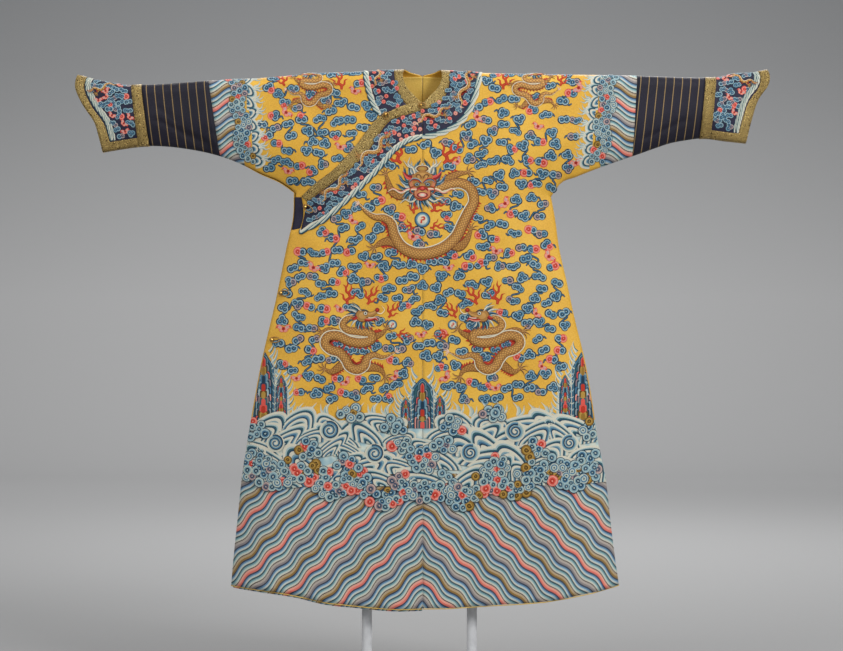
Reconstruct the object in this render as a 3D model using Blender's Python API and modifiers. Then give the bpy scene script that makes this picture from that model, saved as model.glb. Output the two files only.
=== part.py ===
# Chinese dragon robe hanging open and flat on a two-post display stand.
# Metres, +Z up. The robe faces -Y, so the wearer's left side is at +X.
import math

import bpy
import numpy as np

# Cloth walls and the layers they lie in, as distances out from the robe's own surface
wall = 0.0018
bandWall = 0.0010
seamGap = 0.0003
layerGap = 0.0006
bandLift = layerGap + bandWall
underlapLift = -0.0029
innerFrontLift = -0.0049
liningLift = -wall - 0.0016

# Shape of the hollow robe
foldRadius = 0.028
cuffTipRadius = 0.014
seamRadius = 0.008
seamHalfGap = 0.0006
seamDepth = 0.0085
bodyTaper = 0.16
sleeveTaper = 0.09
underarmX = 0.343

# Outline of each side. X is the distance out from the centre seam.
outline = {
    "left": {
        "sign": 1,
        "shoulderX": (0.0, 0.047, 0.153, 0.312, 0.471, 0.577, 0.640, 0.736, 0.789, 0.831, 0.873, 0.924),
        "shoulderZ": (1.648, 1.646, 1.640, 1.636, 1.634, 1.632, 1.630, 1.627, 1.628, 1.638, 1.640, 1.648),
        "underX": (0.343, 0.365, 0.410, 0.463, 0.524, 0.577, 0.619, 0.661, 0.704, 0.746, 0.810, 0.865),
        "underZ": (1.309, 1.341, 1.362, 1.383, 1.405, 1.423, 1.438, 1.452, 1.460, 1.465, 1.458, 1.452),
        "sideZ": (0.276, 0.345, 0.451, 0.557, 0.663, 0.769, 0.875, 0.981, 1.087, 1.171, 1.256, 1.309),
        "sideX": (0.524, 0.514, 0.501, 0.489, 0.468, 0.452, 0.433, 0.407, 0.384, 0.365, 0.353, 0.343),
        "hemX": (0.0, 0.100, 0.206, 0.312, 0.365, 0.418, 0.471, 0.524),
        "hemZ": (0.2195, 0.222, 0.230, 0.236, 0.244, 0.254, 0.263, 0.276),
        "joinX": (0.559, 0.571),
        "cuffBandX": (0.738, 0.753),
        "cuffFieldX": (0.767, 0.782),
        "cuffEdgeShare": (0.0, 0.33, 0.62, 0.80, 0.91, 1.0),
        "cuffEdgeX": (0.862, 0.876, 0.896, 0.922, 0.924, 0.919),
    },
    "right": {
        "sign": -1,
        "shoulderX": (0.0, 0.059, 0.165, 0.271, 0.377, 0.477, 0.574, 0.680, 0.743, 0.786, 0.828, 0.870, 0.924),
        "shoulderZ": (1.648, 1.647, 1.643, 1.639, 1.630, 1.623, 1.619, 1.611, 1.608, 1.607, 1.614, 1.622, 1.635),
        "underX": (0.343, 0.377, 0.430, 0.483, 0.552, 0.595, 0.637, 0.680, 0.743, 0.807, 0.853),
        "underZ": (1.320, 1.344, 1.368, 1.396, 1.421, 1.431, 1.438, 1.443, 1.444, 1.436, 1.428),
        "sideZ": (0.275, 0.345, 0.451, 0.557, 0.663, 0.769, 0.875, 0.928, 1.034, 1.087, 1.171, 1.256, 1.320),
        "sideX": (0.510, 0.504, 0.493, 0.482, 0.466, 0.448, 0.428, 0.416, 0.391, 0.380, 0.363, 0.345, 0.343),
        "hemX": (0.0, 0.059, 0.165, 0.255, 0.324, 0.377, 0.430, 0.510),
        "hemZ": (0.2195, 0.218, 0.226, 0.236, 0.251, 0.261, 0.267, 0.275),
        "joinX": (0.539, 0.569),
        "cuffBandX": (0.727, 0.748),
        "cuffFieldX": (0.756, 0.775),
        "cuffEdgeShare": (0.0, 0.23, 0.40, 0.64, 0.82, 1.0),
        "cuffEdgeX": (0.852, 0.862, 0.872, 0.907, 0.924, 0.919),
    },
}

# Half depth that the robe gains below the shoulder fold, by drop from the shoulder line
fullness = {"drop": (0.0, 0.2, 0.6, 1.0, 1.43), "gain": (0.0, 0.014, 0.020, 0.029, 0.042)}

# Soft upright troughs toward the hem: place, half width, depth and the height where each starts
troughs = {
    "x": (-0.343, 0.0, 0.124, 0.300, -0.190, 0.430),
    "width": (0.034, 0.040, 0.032, 0.045, 0.045, 0.035),
    "depth": (0.011, 0.006, 0.009, 0.005, 0.005, 0.005),
    "start": (0.66, 0.56, 0.60, 0.70, 0.60, 0.70),
}

# Collar on either side of the neck, from front centre (turn 0) to back centre (turn 8).
# A is the distance along the cloth from the shoulder line, below zero on the front.
collar = {
    "steps": (2, 2, 3, 4, 7, 5, 5, 3),
    "neckX": (0.0004, 0.022, 0.040, 0.050, 0.051, 0.047, 0.041, 0.029, 0.0004),
    "neckA": (-0.1084, -0.086, -0.066, -0.044, -0.022, 0.0, 0.010, 0.0195, 0.0284),
    "trimX": (0.0004, 0.030, 0.052, 0.066, 0.073, 0.074, 0.072, 0.052, 0.0004),
    "trimA": (-0.124, -0.117, -0.100, -0.072, -0.040, 0.0, 0.022, 0.046, 0.057),
    "bandX": (0.0004, 0.050, 0.095, 0.128, 0.149, 0.154, 0.148, 0.105, 0.0004),
    "bandA": (-0.198, -0.186, -0.160, -0.118, -0.056, 0.0, 0.034, 0.080, 0.115),
}

# Edge of the outer front that crosses from the neck to the wearer's right underarm
overlapEdge = {
    "topX": (0.0004, 0.0435, 0.087, 0.112, 0.136, 0.169, 0.2025, 0.237, 0.287, 0.3215),
    "topZ": (1.5556, 1.5516, 1.534, 1.521, 1.497, 1.452, 1.4125, 1.378, 1.341, 1.309),
    "trimX": (0.0004, 0.041, 0.0806, 0.097, 0.1097, 0.139, 0.180, 0.222, 0.270, 0.305),
    "trimZ": (1.538, 1.5254, 1.512, 1.498, 1.4814, 1.436, 1.391, 1.357, 1.321, 1.2945),
    "bandX": (0.0004, 0.035, 0.060, 0.0806, 0.100, 0.128, 0.165, 0.205, 0.262, 0.324),
    "bandZ": (1.462, 1.455, 1.440, 1.423, 1.399, 1.367, 1.330, 1.292, 1.243, 1.213),
}
overlapSide = {"z": (1.190, 1.209, 1.240, 1.275, 1.309), "x": (0.3515, 0.334, 0.3195, 0.3165, 0.3215)}
innerHemDrop = 0.007

# Nearest that a collar piece comes to the centre seam, and the span of the rows beside the neck
collarSeamX = 0.0004
neckRowsTop = 1.648
neckRowsLow = 1.318
belowNeckArc = 0.3

# Rows of the cloth: turns over the shoulder fold and round the seams in degrees, shares between
foldTurns = (0, 20, 40, 58, 90)
middleShares = (0.075, 0.143, 0.219, 0.45, 0.72)
seamTurns = (90, 45, 15, 0)
skirtShares = (0.04, 0.08, 0.125, 0.16, 0.27, 0.39, 0.51, 0.63, 0.76, 0.88, 1.0)
skirtRows = len(skirtShares)
cutawayRow = 2
overlapRows = 8
bodyColumns = 8
sleeveColumns = 4
cuffColumns = 3

# Cuff trims, piping and closures
cuffBorder = 0.025
cuffHemBorder = 0.022
pipingRadius = 0.0013
pipingGap = 0.0006
pipingHalfDepth = 0.0022
pipingRise = 0.002
buttonRadius = 0.0048
buttonGap = 0.0002
cordRadius = 0.0013
loopReach = 0.0075

# Closures: place out from the centre seam, height, loop length, its slope and the layer below it
closures = {
    "name": ("neck", "chest", "underarm", "waist", "hip"),
    "x": (0.004, 0.0975, 0.3085, 0.374, 0.398),
    "z": (1.549, 1.524, 1.281, 1.052, 0.928),
    "length": (0.020, 0.020, 0.030, 0.028, 0.028),
    "degrees": (0, -70, -35, 0, 0),
    "lift": (bandLift, bandLift, bandLift, 0.0, 0.0),
}

# Display stand
baseSize = (0.62, 0.40, 0.010)
postRadius = 0.0135
postX = (-0.148, 0.132)
barRadius = 0.0245
barClearance = 0.0006
postTopGap = 0.0012
barInnerX = 0.080
barOuterX = 0.735
braceZ = 1.42
braceRadius = 0.010


def clearScene():
    for item in list(bpy.data.objects):
        bpy.data.objects.remove(item, do_unlink=True)


def newMaterial(name, colour, roughness, metallic=0.0):
    material = bpy.data.materials.new(name)
    material.use_nodes = True
    shader = material.node_tree.nodes["Principled BSDF"]
    shader.inputs["Base Color"].default_value = (*colour, 1.0)
    shader.inputs["Roughness"].default_value = roughness
    shader.inputs["Metallic"].default_value = metallic
    return material


# Soft curve through a table's points, level beyond its ends
def softLine(x, xs, ys):
    xs = np.asarray(xs, float)
    ys = np.asarray(ys, float)
    slopes = np.gradient(ys, xs)
    x = np.clip(x, xs[0], xs[-1])
    k = np.clip(np.searchsorted(xs, x, side="right") - 1, 0, len(xs) - 2)
    gap = xs[k + 1] - xs[k]
    t = (x - xs[k]) / gap
    start = (1 + 2 * t) * (1 - t) ** 2 * ys[k] + t * (1 - t) ** 2 * gap * slopes[k]
    return start + t * t * (3 - 2 * t) * ys[k + 1] + t * t * (t - 1) * gap * slopes[k + 1]


def smoothStep(low, high, x):
    t = np.clip((x - low) / (high - low), 0, 1)
    return t * t * (3 - 2 * t)


# Quarter round that starts upright, and a taper that starts sloped
def quarterRound(s):
    s = np.clip(s, 0, 1)
    return np.sqrt(np.maximum(s * (2 - s), 0))


def taper(s):
    s = np.clip(s, 0, 1)
    return s * (2 - s)


def shoulderHeight(side, x):
    return softLine(x, outline[side]["shoulderX"], outline[side]["shoulderZ"])


# Lower edge of the sleeve, level inside the underarm
def underHeight(side, x):
    return softLine(x, outline[side]["underX"], outline[side]["underZ"])


def sideEdge(side, z):
    return softLine(z, outline[side]["sideZ"], outline[side]["sideX"])


def hemHeight(side, x):
    return softLine(x, outline[side]["hemX"], outline[side]["hemZ"])


def foldAt(x):
    return foldRadius - (foldRadius - cuffTipRadius) * smoothStep(0.76, 0.93, x)


# Half depth of the hollow robe at x, z: a round fold, then fullness, closing to the seams
def halfDepth(side, x, z):
    drop = np.maximum(shoulderHeight(side, x) - z, 0)
    radius = foldAt(x)
    underarm = outline[side]["underZ"][0]
    below = sideEdge(side, z) - x
    corner = np.hypot(underarmX - x, z - underarm)
    above = np.where(x > underarmX, z - underHeight(side, x), corner)
    fromSeam = np.maximum(np.where(z < underarm, below, above), 0)
    sleeveness = smoothStep(0.28, 0.50, x) * smoothStep(underarm - 0.1, underarm + 0.05, z)
    reach = bodyTaper + (sleeveTaper - bodyTaper) * sleeveness
    gain = softLine(drop, fullness["drop"], fullness["gain"]) * (1 - 0.85 * sleeveness)
    share = seamDepth / (radius + gain)
    seam = share * quarterRound(fromSeam / seamRadius) + (1 - share) * taper(fromSeam / reach)
    depth = (radius * quarterRound(drop / radius) + gain) * seam
    dip = np.zeros_like(depth)
    world = outline[side]["sign"] * x
    for place, width, deep, start in zip(*troughs.values()):
        dip = dip + deep * np.exp(-((world - place) / width) ** 2) * smoothStep(start, 0.25, z)
    return depth - dip * taper(fromSeam / 0.12)


# The inner front of the wearer's right side lies under the overlap
def rightFrontLift(x, z, a):
    fade = smoothStep(0.27, 0.34, x) * smoothStep(1.34, 1.44, z)
    return innerFrontLift * smoothStep(0.050, 0.106, -a) * (1 - fade)


# Points of the robe's surface, face -1 at the front and 1 at the back
def surfacePoints(side, x, z, face):
    depth = halfDepth(side, x, z)
    onFold = shoulderHeight(side, x) - z < 1e-6
    depth = np.where(onFold, 0, np.maximum(depth, seamHalfGap))
    return np.stack([outline[side]["sign"] * x, face * depth, z], axis=-1)


# Distance along the cloth from the shoulder line, as a drop in height, and back
def dropOfArc(arc):
    quarter = foldRadius * math.pi / 2
    onFold = foldRadius * (1 - np.cos(np.minimum(arc, quarter) / foldRadius))
    return onFold + np.maximum(arc - quarter, 0)


def arcOfDrop(drop):
    turn = np.arccos(1 - np.minimum(drop, foldRadius) / foldRadius)
    return foldRadius * turn + np.maximum(drop - foldRadius, 0)


# Outward normals of a grid of points from its own neighbours, level across a seam
def gridNormals(points, outward):
    along = np.gradient(points, axis=0)
    across = np.gradient(points, axis=1)
    normals = np.cross(along, across) * outward
    normals[..., 1] *= np.abs(points[..., 1]) > seamHalfGap * 1.01
    return normals / np.maximum(np.linalg.norm(normals, axis=2, keepdims=True), 1e-12)


# Names a mesh object, puts it in the robe's collection and gives it its material
def place(name, mesh, material):
    item = bpy.data.objects.new(name, mesh)
    robe.objects.link(item)
    item.data.materials.append(materials[material])
    return item


# Cloth wall: the grid's kept cells as an open surface, thickened inward
def clothWall(name, points, material, thick, outward, keep=None):
    rows, columns = points.shape[:2]
    if keep is None:
        keep = np.ones((rows - 1, columns - 1), bool)
    row, column = np.nonzero(keep)
    first = row * columns + column
    cells = np.stack([first, first + columns, first + columns + 1, first + 1], axis=1)
    if outward < 0:
        cells = cells[:, ::-1]
    used, cells = np.unique(cells, return_inverse=True)
    mesh = bpy.data.meshes.new(name)
    mesh.from_pydata(points.reshape(-1, 3)[used].tolist(), [], cells.reshape(-1, 4).tolist())
    mesh.shade_smooth()
    item = place(name, mesh, material)
    solid = item.modifiers.new("Cloth thickness", "SOLIDIFY")
    solid.thickness = thick
    solid.offset = -1
    solid.use_even_offset = True
    return item


# Column places from an inner edge to a seam, closer together where the cloth turns in
def columnPlaces(inner, outer):
    inner = np.asarray(inner, float)[..., None]
    outer = np.asarray(outer, float)[..., None]
    shares = np.linspace(0, 1, bodyColumns + 1)
    main = inner + (outer - seamRadius - inner) * shares
    turns = np.radians(seamTurns[1:])
    return np.concatenate([main, outer - seamRadius * (1 - np.cos(turns))], axis=-1)


# Heights of the rows between shoulder fold and lower edge, one row of x for each
def upperHeights(side, x):
    top = shoulderHeight(side, x)
    low = underHeight(side, x)
    fold = foldAt(x)
    folds = 1 - np.cos(np.radians(foldTurns))
    seams = 1 - np.cos(np.radians(seamTurns))
    count = len(folds)
    middle = count + len(middleShares)
    z = np.empty_like(x)
    z[:count] = top[:count] - fold[:count] * folds[:, None]
    share = np.array(middleShares)[:, None]
    run = (top - low - fold - seamRadius)[count:middle]
    z[count:middle] = top[count:middle] - fold[count:middle] - share * run
    z[middle:] = low[middle:] + seamRadius * seams[:, None]
    return z


upperRows = len(foldTurns) + len(middleShares) + len(seamTurns)


# Inner edge of a half: the neck's curve, then the centre seam
def neckEdge(face):
    fold = foldRadius * np.radians(foldTurns)
    span = neckRowsTop - neckRowsLow - foldRadius - seamRadius
    middle = fold[-1] + np.array(middleShares) * span
    arcs = np.concatenate([fold, middle, np.full(len(seamTurns), belowNeckArc)]) * face
    return np.interp(arcs, collar["neckA"], collar["neckX"], seamGap / 2, seamGap / 2)


# Body of one half on one face, from the shoulder fold to the hem
def bodyFace(side, face):
    x = columnPlaces(neckEdge(face), np.full(upperRows, underarmX))
    z = upperHeights(side, x)
    hemX = columnPlaces(seamGap / 2, outline[side]["hemX"][-1])
    underarm = outline[side]["underZ"][0]
    shares = np.array(skirtShares)[:, None]
    skirtZ = underarm + (hemHeight(side, hemX) - underarm) * shares
    edge = sideEdge(side, skirtZ)
    skirtX = np.take_along_axis(columnPlaces(np.full(edge.shape, seamGap / 2), edge),
                                np.arange(edge.shape[1])[None, :, None], axis=2)[..., 0]
    return np.concatenate([x, skirtX]), np.concatenate([z, skirtZ])


# Sleeve stretch between two slanted lines given as lower and upper x
def sleeveFace(side, inner, outer, columns):
    shares = np.linspace(0, 1, columns + 1)[None, :]
    guess = np.repeat(np.mean(inner) + (np.mean(outer) - np.mean(inner)) * shares, upperRows, axis=0)
    z = upperHeights(side, guess)
    low = underHeight(side, guess)
    height = (z - low) / (shoulderHeight(side, guess) - low)
    start = np.interp(height, np.linspace(0, 1, len(inner)), inner)
    if len(outer) == 2:
        end = np.interp(height, (0, 1), outer)
    else:
        end = softLine(height, outline[side]["cuffEdgeShare"], outer)
    x = start + (end - start) * shares
    return x, upperHeights(side, x)


# Joins the front and back of a grid over the shoulder, rows from the front's lowest to the back's
def overShoulder(side, front, back, lifts=(0, 0)):
    frontPoints = surfacePoints(side, *front, -1)
    backPoints = surfacePoints(side, *back, 1)
    points = np.concatenate([frontPoints[::-1], backPoints[1:]])
    normals = gridNormals(points, -outline[side]["sign"])
    lift = np.concatenate([np.broadcast_to(lifts[0], front[0].shape)[::-1],
                           np.broadcast_to(lifts[1], back[0].shape)[1:]])
    return points + normals * lift[..., None]


# Half of the robe with its upper sleeve in one length, hem to hem over the shoulder
def makeHalf(side):
    grids = []
    for face in (-1, 1):
        x, z = bodyFace(side, face)
        if side == "right" and face < 0:
            z[upperRows:] -= innerHemDrop * smoothStep(0.5, 0.3, z[upperRows:])
        join = np.array(outline[side]["joinX"]) - seamGap / 2
        sleeveX, sleeveZ = sleeveFace(side, (underarmX, underarmX), join, sleeveColumns)
        blank = np.full((skirtRows, sleeveColumns), underarmX)
        sleeveX = np.concatenate([sleeveX[:, 1:], blank])
        sleeveZ = np.concatenate([sleeveZ[:, 1:], np.ones_like(blank)])
        grids.append((np.concatenate([x, sleeveX], axis=1), np.concatenate([z, sleeveZ], axis=1)))
    x, z = grids[0]
    lift = np.zeros_like(x)
    if side == "right":
        arc = arcOfDrop(np.maximum(shoulderHeight(side, x) - z, 0))
        lift = rightFrontLift(x, z, -arc)
    body = bodyColumns + len(seamTurns) - 1
    keep = np.ones((2 * (upperRows + skirtRows) - 2, body + sleeveColumns), bool)
    keep[:skirtRows, body:] = False
    keep[-skirtRows:, body:] = False
    points = overShoulder(side, *grids)
    bodyCut = (slice(None), slice(0, body + 1))
    bodyGrids = [(x[bodyCut], z[bodyCut]) for x, z in grids]
    points[:, :body + 1] = overShoulder(side, *bodyGrids, (lift[bodyCut], 0))
    sleeveCut = (slice(0, upperRows), slice(body, None))
    sleeveGrids = [(x[sleeveCut], z[sleeveCut]) for x, z in grids]
    sleevePart = overShoulder(side, *sleeveGrids, (lift[sleeveCut], 0))
    points[skirtRows:-skirtRows, body + 1:] = sleevePart[:, 1:]
    clothWall(side + "_half", points, "yellowSilk", wall, -outline[side]["sign"], keep)


# Outer front that closes over the wearer's right side
def makeOverlap():
    side = "right"
    x, z = bodyFace(side, -1)
    x = x[upperRows + cutawayRow:]
    z = z[upperRows + cutawayRow:]
    shares = np.linspace(1, 0, overlapRows + 1)[:-1, None]
    topX = columnPlaces(overlapEdge["topX"][0], overlapEdge["topX"][-1] + seamRadius)
    topZ = softLine(topX, overlapEdge["topX"], overlapEdge["topZ"])
    upperZ = z[0] + (topZ - z[0]) * shares
    edge = softLine(upperZ, overlapSide["z"], overlapSide["x"]) + seamRadius
    columns = np.arange(edge.shape[1])[None, :, None]
    upperX = np.take_along_axis(columnPlaces(np.full(edge.shape, seamGap / 2), edge), columns, axis=2)[..., 0]
    points = surfacePoints(side, np.concatenate([upperX, x]), np.concatenate([upperZ, z]), -1)
    keep = np.ones((points.shape[0] - 1, points.shape[1] - 1), bool)
    keep[:overlapRows, bodyColumns:] = False
    clothWall("overlap_front", points, "yellowSilk", wall, outline[side]["sign"], keep)


# Strip between two curves given as x, z on the front, moved out by a lift
def frontStrip(name, side, inner, outer, cells, material, lift, steps, trimmed):
    knots = np.arange(len(overlapEdge["topX"]))
    t = np.linspace(0, knots[-1], steps + 1)
    share = np.linspace(trimmed[0], 1 - trimmed[1], cells + 1)[:, None]
    x = softLine(t, knots, overlapEdge[inner + "X"]) * (1 - share)
    x = x + softLine(t, knots, overlapEdge[outer + "X"]) * share
    z = softLine(t, knots, overlapEdge[inner + "Z"]) * (1 - share)
    z = z + softLine(t, knots, overlapEdge[outer + "Z"]) * share
    points = surfacePoints(side, x, z, -1)
    outward = outline[side]["sign"]
    points = points + gridNormals(points, outward) * lift
    clothWall(name, points, material, bandWall, outward)


# Half ring round the neck between two of the collar's curves
def collarRing(name, side, inner, outer, cells, material, trimmed):
    turns = np.concatenate([k + np.arange(n) / n for k, n in enumerate(collar["steps"])] + [[8]])
    knots = np.arange(9)
    share = np.linspace(trimmed[0], 1 - trimmed[1], cells + 1)[:, None]
    x = softLine(turns, knots, collar[inner + "X"]) * (1 - share)
    x = x + softLine(turns, knots, collar[outer + "X"]) * share
    arc = softLine(turns, knots, collar[inner + "A"]) * (1 - share)
    arc = arc + softLine(turns, knots, collar[outer + "A"]) * share
    x = np.maximum(x, collarSeamX)
    z = shoulderHeight(side, x) - dropOfArc(np.abs(arc))
    depth = halfDepth(side, x, z) * np.sign(arc)
    points = np.stack([outline[side]["sign"] * x, depth, z], axis=-1)
    outward = outline[side]["sign"]
    lift = np.full(x.shape, bandLift)
    if side == "right":
        lift = lift + rightFrontLift(x, z, np.minimum(arc, 0))
    normals = gridNormals(points, outward)
    seamColumns = [0, -1]
    normals[:, seamColumns, 0] = 0
    normals[:, seamColumns] /= np.linalg.norm(normals[:, seamColumns], axis=2, keepdims=True)
    points = points + normals * lift[..., None]
    clothWall(name, points, material, bandWall, outward)


# Tube or part of one over a grid, with a seam along its underside
def sleeveTube(name, side, grid, material, thick, lift=0.0, keep=None):
    points = overShoulder(side, grid, grid, (lift, lift))
    clothWall(name, points, material, thick, -outline[side]["sign"], keep)


# Grid of the flared cuff: its inner band, its field and its edge, with a row for the lower border
def cuffGrid(side):
    shape = outline[side]
    band = np.array(shape["cuffBandX"])
    field = np.array(shape["cuffFieldX"])
    edge = np.array(shape["cuffEdgeX"])
    inner = sleeveFace(side, band + seamGap / 2, edge, 1)[0][:, :1]
    body = sleeveFace(side, field, edge, cuffColumns)[0]
    border = body[:, -1:] - cuffBorder
    body = body[:, :1] + (border - body[:, :1]) * np.linspace(0, 1, cuffColumns + 1)
    x = np.concatenate([inner, body, border + cuffBorder], axis=1)
    z = upperHeights(side, x)
    step = len(foldTurns) + len(middleShares) - 1
    z[step] = underHeight(side, x)[step] + cuffHemBorder
    return x, z


# Dark sleeve, and the cuff with brocade along its inner band, flared edge and underside
def makeSleeve(side):
    join = np.array(outline[side]["joinX"]) + seamGap / 2
    band = np.array(outline[side]["cuffBandX"]) - seamGap / 2
    sleeveTube(side + "_sleeve", side, sleeveFace(side, join, band, 3), "darkSilk", wall)
    x, z = cuffGrid(side)
    sleeveTube(side + "_cuff", side, (x, z), "navySilk", wall)
    bandPart = (x[:, :2] - (0, seamGap), z[:, :2])
    sleeveTube(side + "_cuff_band", side, bandPart, "brocade", bandWall, bandLift)
    keep = np.ones((2 * upperRows - 2, cuffColumns + 1), bool)
    keep[len(seamTurns):-len(seamTurns), :cuffColumns] = False
    borderPart = (x[:, 1:], z[:, 1:])
    sleeveTube(side + "_cuff_border", side, borderPart, "brocade", bandWall, bandLift, keep)


# Dark piece that shows at the underarm, between the overlap and the inner front
def makeUnderlap():
    side = "right"
    x, z = bodyFace(side, -1)
    rows = slice(upperRows, upperRows + cutawayRow + 2)
    points = surfacePoints(side, x[rows, bodyColumns - 1:], z[rows, bodyColumns - 1:], -1)
    outward = outline[side]["sign"]
    points = points + gridNormals(points, outward) * underlapLift
    clothWall("underlap", points, "navySilk", bandWall, outward)


# Lining inside the back of the neck, with the centre seam open between its halves
def makeLining(side):
    x = np.linspace(collarSeamX, 0.066, 5)[None, :]
    arc = np.array((0.030, 0.037, 0.044, 0.060, 0.085, 0.115, 0.150))[:, None]
    x, arc = np.broadcast_arrays(x, arc)
    z = shoulderHeight(side, x) - dropOfArc(arc)
    points = surfacePoints(side, x, z, 1)
    outward = -outline[side]["sign"]
    points = points + gridNormals(points, outward) * liningLift
    clothWall(side + "_neck_lining", points, "liningSilk", bandWall, outward)


# Round wire or tube through points
def tube(name, points, radius, material, resolution=2, closed=False):
    curve = bpy.data.curves.new(name, "CURVE")
    curve.dimensions = "3D"
    curve.bevel_depth = radius
    curve.bevel_resolution = resolution
    curve.use_fill_caps = not closed
    spline = curve.splines.new("POLY")
    spline.points.add(len(points) - 1)
    for target, point in zip(spline.points, points):
        target.co = (*point, 1.0)
    spline.use_cyclic_u = closed
    return place(name, curve, material)


# Piping along the bottom edge of one panel, under the middle of its wall
def makePiping(side, face):
    x, z = bodyFace(side, face)
    x = x[-1, :-1]
    z = z[-1, :-1] - pipingRadius - pipingGap
    centre = halfDepth(side, x, z + pipingRise) - wall / 2
    x = np.clip(x, pipingRadius + seamGap, None)
    points = np.stack([outline[side]["sign"] * x, face * np.maximum(centre, pipingHalfDepth), z], axis=1)
    where = "front" if face < 0 else "back"
    tube(side + "_hem_piping_" + where, points.tolist(), pipingRadius, "pipingSilk", 1)


# Point on the front of the closing side, moved out square to the cloth
def onFront(x, z, lift):
    step = 0.004
    x, z = np.meshgrid(x + np.array((-step, 0, step)), z + np.array((-step, 0, step)))
    patch = surfacePoints("right", x, z, -1)
    return patch[1, 1] + gridNormals(patch, 1)[1, 1] * lift


# Ball button held in a long cord loop that lies on the overlap
def makeClosure(name, x, z, length, degrees, lift):
    angle = math.radians(degrees)
    along = np.array((math.cos(angle), math.sin(angle)))
    across = np.array((-along[1], along[0]))
    ring = []
    for step in range(16):
        turn = 2 * math.pi * step / 16
        place2d = along * (length / 2 * math.cos(turn) + length / 2 - loopReach)
        place2d = place2d + across * loopReach * math.sin(turn)
        base = onFront(x - place2d[0], z + place2d[1], lift + cordRadius + layerGap)
        ring.append(base.tolist())
    tube(name + "_loop", ring, cordRadius, "cord", 1, True)
    ball = onFront(x, z, lift + buttonRadius + buttonGap)
    bpy.ops.mesh.primitive_uv_sphere_add(segments=12, ring_count=6, radius=buttonRadius, location=ball)
    button = bpy.context.object
    button.name = name + "_button"
    button.data.name = button.name
    button.data.materials.append(materials["gilt"])
    button.data.shade_smooth()
    for holder in list(button.users_collection):
        holder.objects.unlink(button)
    robe.objects.link(button)


def makeStand():
    bpy.ops.mesh.primitive_cube_add(size=1, location=(0, 0, baseSize[2] / 2))
    base = bpy.context.object
    base.name = "stand_base"
    base.scale = baseSize
    bpy.ops.object.transform_apply(location=False, rotation=False, scale=True)
    base.data.materials.append(materials["standPaint"])
    edge = base.modifiers.new("Softened edges", "BEVEL")
    edge.width = 0.002
    edge.segments = 2
    for holder in list(base.users_collection):
        holder.objects.unlink(base)
    robe.objects.link(base)
    for side, x in zip(("right", "left"), postX):
        columns = bodyFace(side, 1)[0][0]
        sleeve = sleeveFace(side, (underarmX,) * 2, outline[side]["joinX"], sleeveColumns)[0][0]
        dark = sleeveFace(side, outline[side]["joinX"], outline[side]["cuffBandX"], 3)[0][0]
        places = np.unique(np.round(np.concatenate([columns, sleeve, dark]), 3))
        places = places[(places > barInnerX) & (places < barOuterX)]
        places = np.concatenate([[barInnerX], places, [barOuterX]])
        drop = wall + barClearance + barRadius
        bar = [(outline[side]["sign"] * p, 0.0, float(shoulderHeight(side, p)) - drop) for p in places]
        tube(side + "_shoulder_bar", bar, barRadius, "standPaint", 4)
        height = float(shoulderHeight(side, abs(x))) - drop - barRadius - postTopGap - baseSize[2] - seamGap
        centre = baseSize[2] + seamGap + height / 2
        bpy.ops.mesh.primitive_cylinder_add(vertices=24, radius=postRadius, depth=height, location=(x, 0, centre))
        post = bpy.context.object
        post.name = side + "_post"
        post.data.shade_smooth()
        post.data.set_sharp_from_angle(angle=math.radians(40))
        post.data.materials.append(materials["standPaint"])
        for holder in list(post.users_collection):
            holder.objects.unlink(post)
        robe.objects.link(post)
    ends = (postX[0] + postRadius + seamGap, postX[1] - postRadius - seamGap)
    tube("stand_brace", [(ends[0], 0, braceZ), (ends[1], 0, braceZ)], braceRadius, "standPaint", 4)


clearScene()
robe = bpy.data.collections.new("dragon robe")
bpy.context.scene.collection.children.link(robe)
materials = {
    "yellowSilk": newMaterial("yellow silk", (0.70, 0.43, 0.06), 0.55),
    "liningSilk": newMaterial("lining silk", (0.55, 0.42, 0.12), 0.6),
    "navySilk": newMaterial("navy silk", (0.022, 0.020, 0.045), 0.6),
    "darkSilk": newMaterial("dark silk", (0.026, 0.022, 0.038), 0.55),
    "brocade": newMaterial("gold brocade", (0.25, 0.18, 0.05), 0.45, 0.4),
    "pipingSilk": newMaterial("piping silk", (0.62, 0.42, 0.10), 0.6),
    "cord": newMaterial("silk cord", (0.45, 0.27, 0.08), 0.6),
    "gilt": newMaterial("gilt metal", (0.75, 0.52, 0.20), 0.3, 1.0),
    "standPaint": newMaterial("stand paint", (0.62, 0.63, 0.64), 0.5),
}
for side in ("left", "right"):
    makeHalf(side)
    makeSleeve(side)
    collarRing(side + "_neck_trim", side, "neck", "trim", 4, "brocade", (0, 0.02))
    collarRing(side + "_collar_band", side, "trim", "band", 4, "navySilk", (0.008, 0))
    makeLining(side)
    makePiping(side, -1)
    makePiping(side, 1)
makeOverlap()
frontStrip("overlap_trim", "right", "top", "trim", 2, "brocade", bandLift, 27, (0, 0.02))
frontStrip("overlap_band", "right", "trim", "band", 3, "navySilk", bandLift, 27, (0.01, 0))
makeUnderlap()
for closure in zip(*closures.values()):
    makeClosure(*closure)
makeStand()
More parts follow.
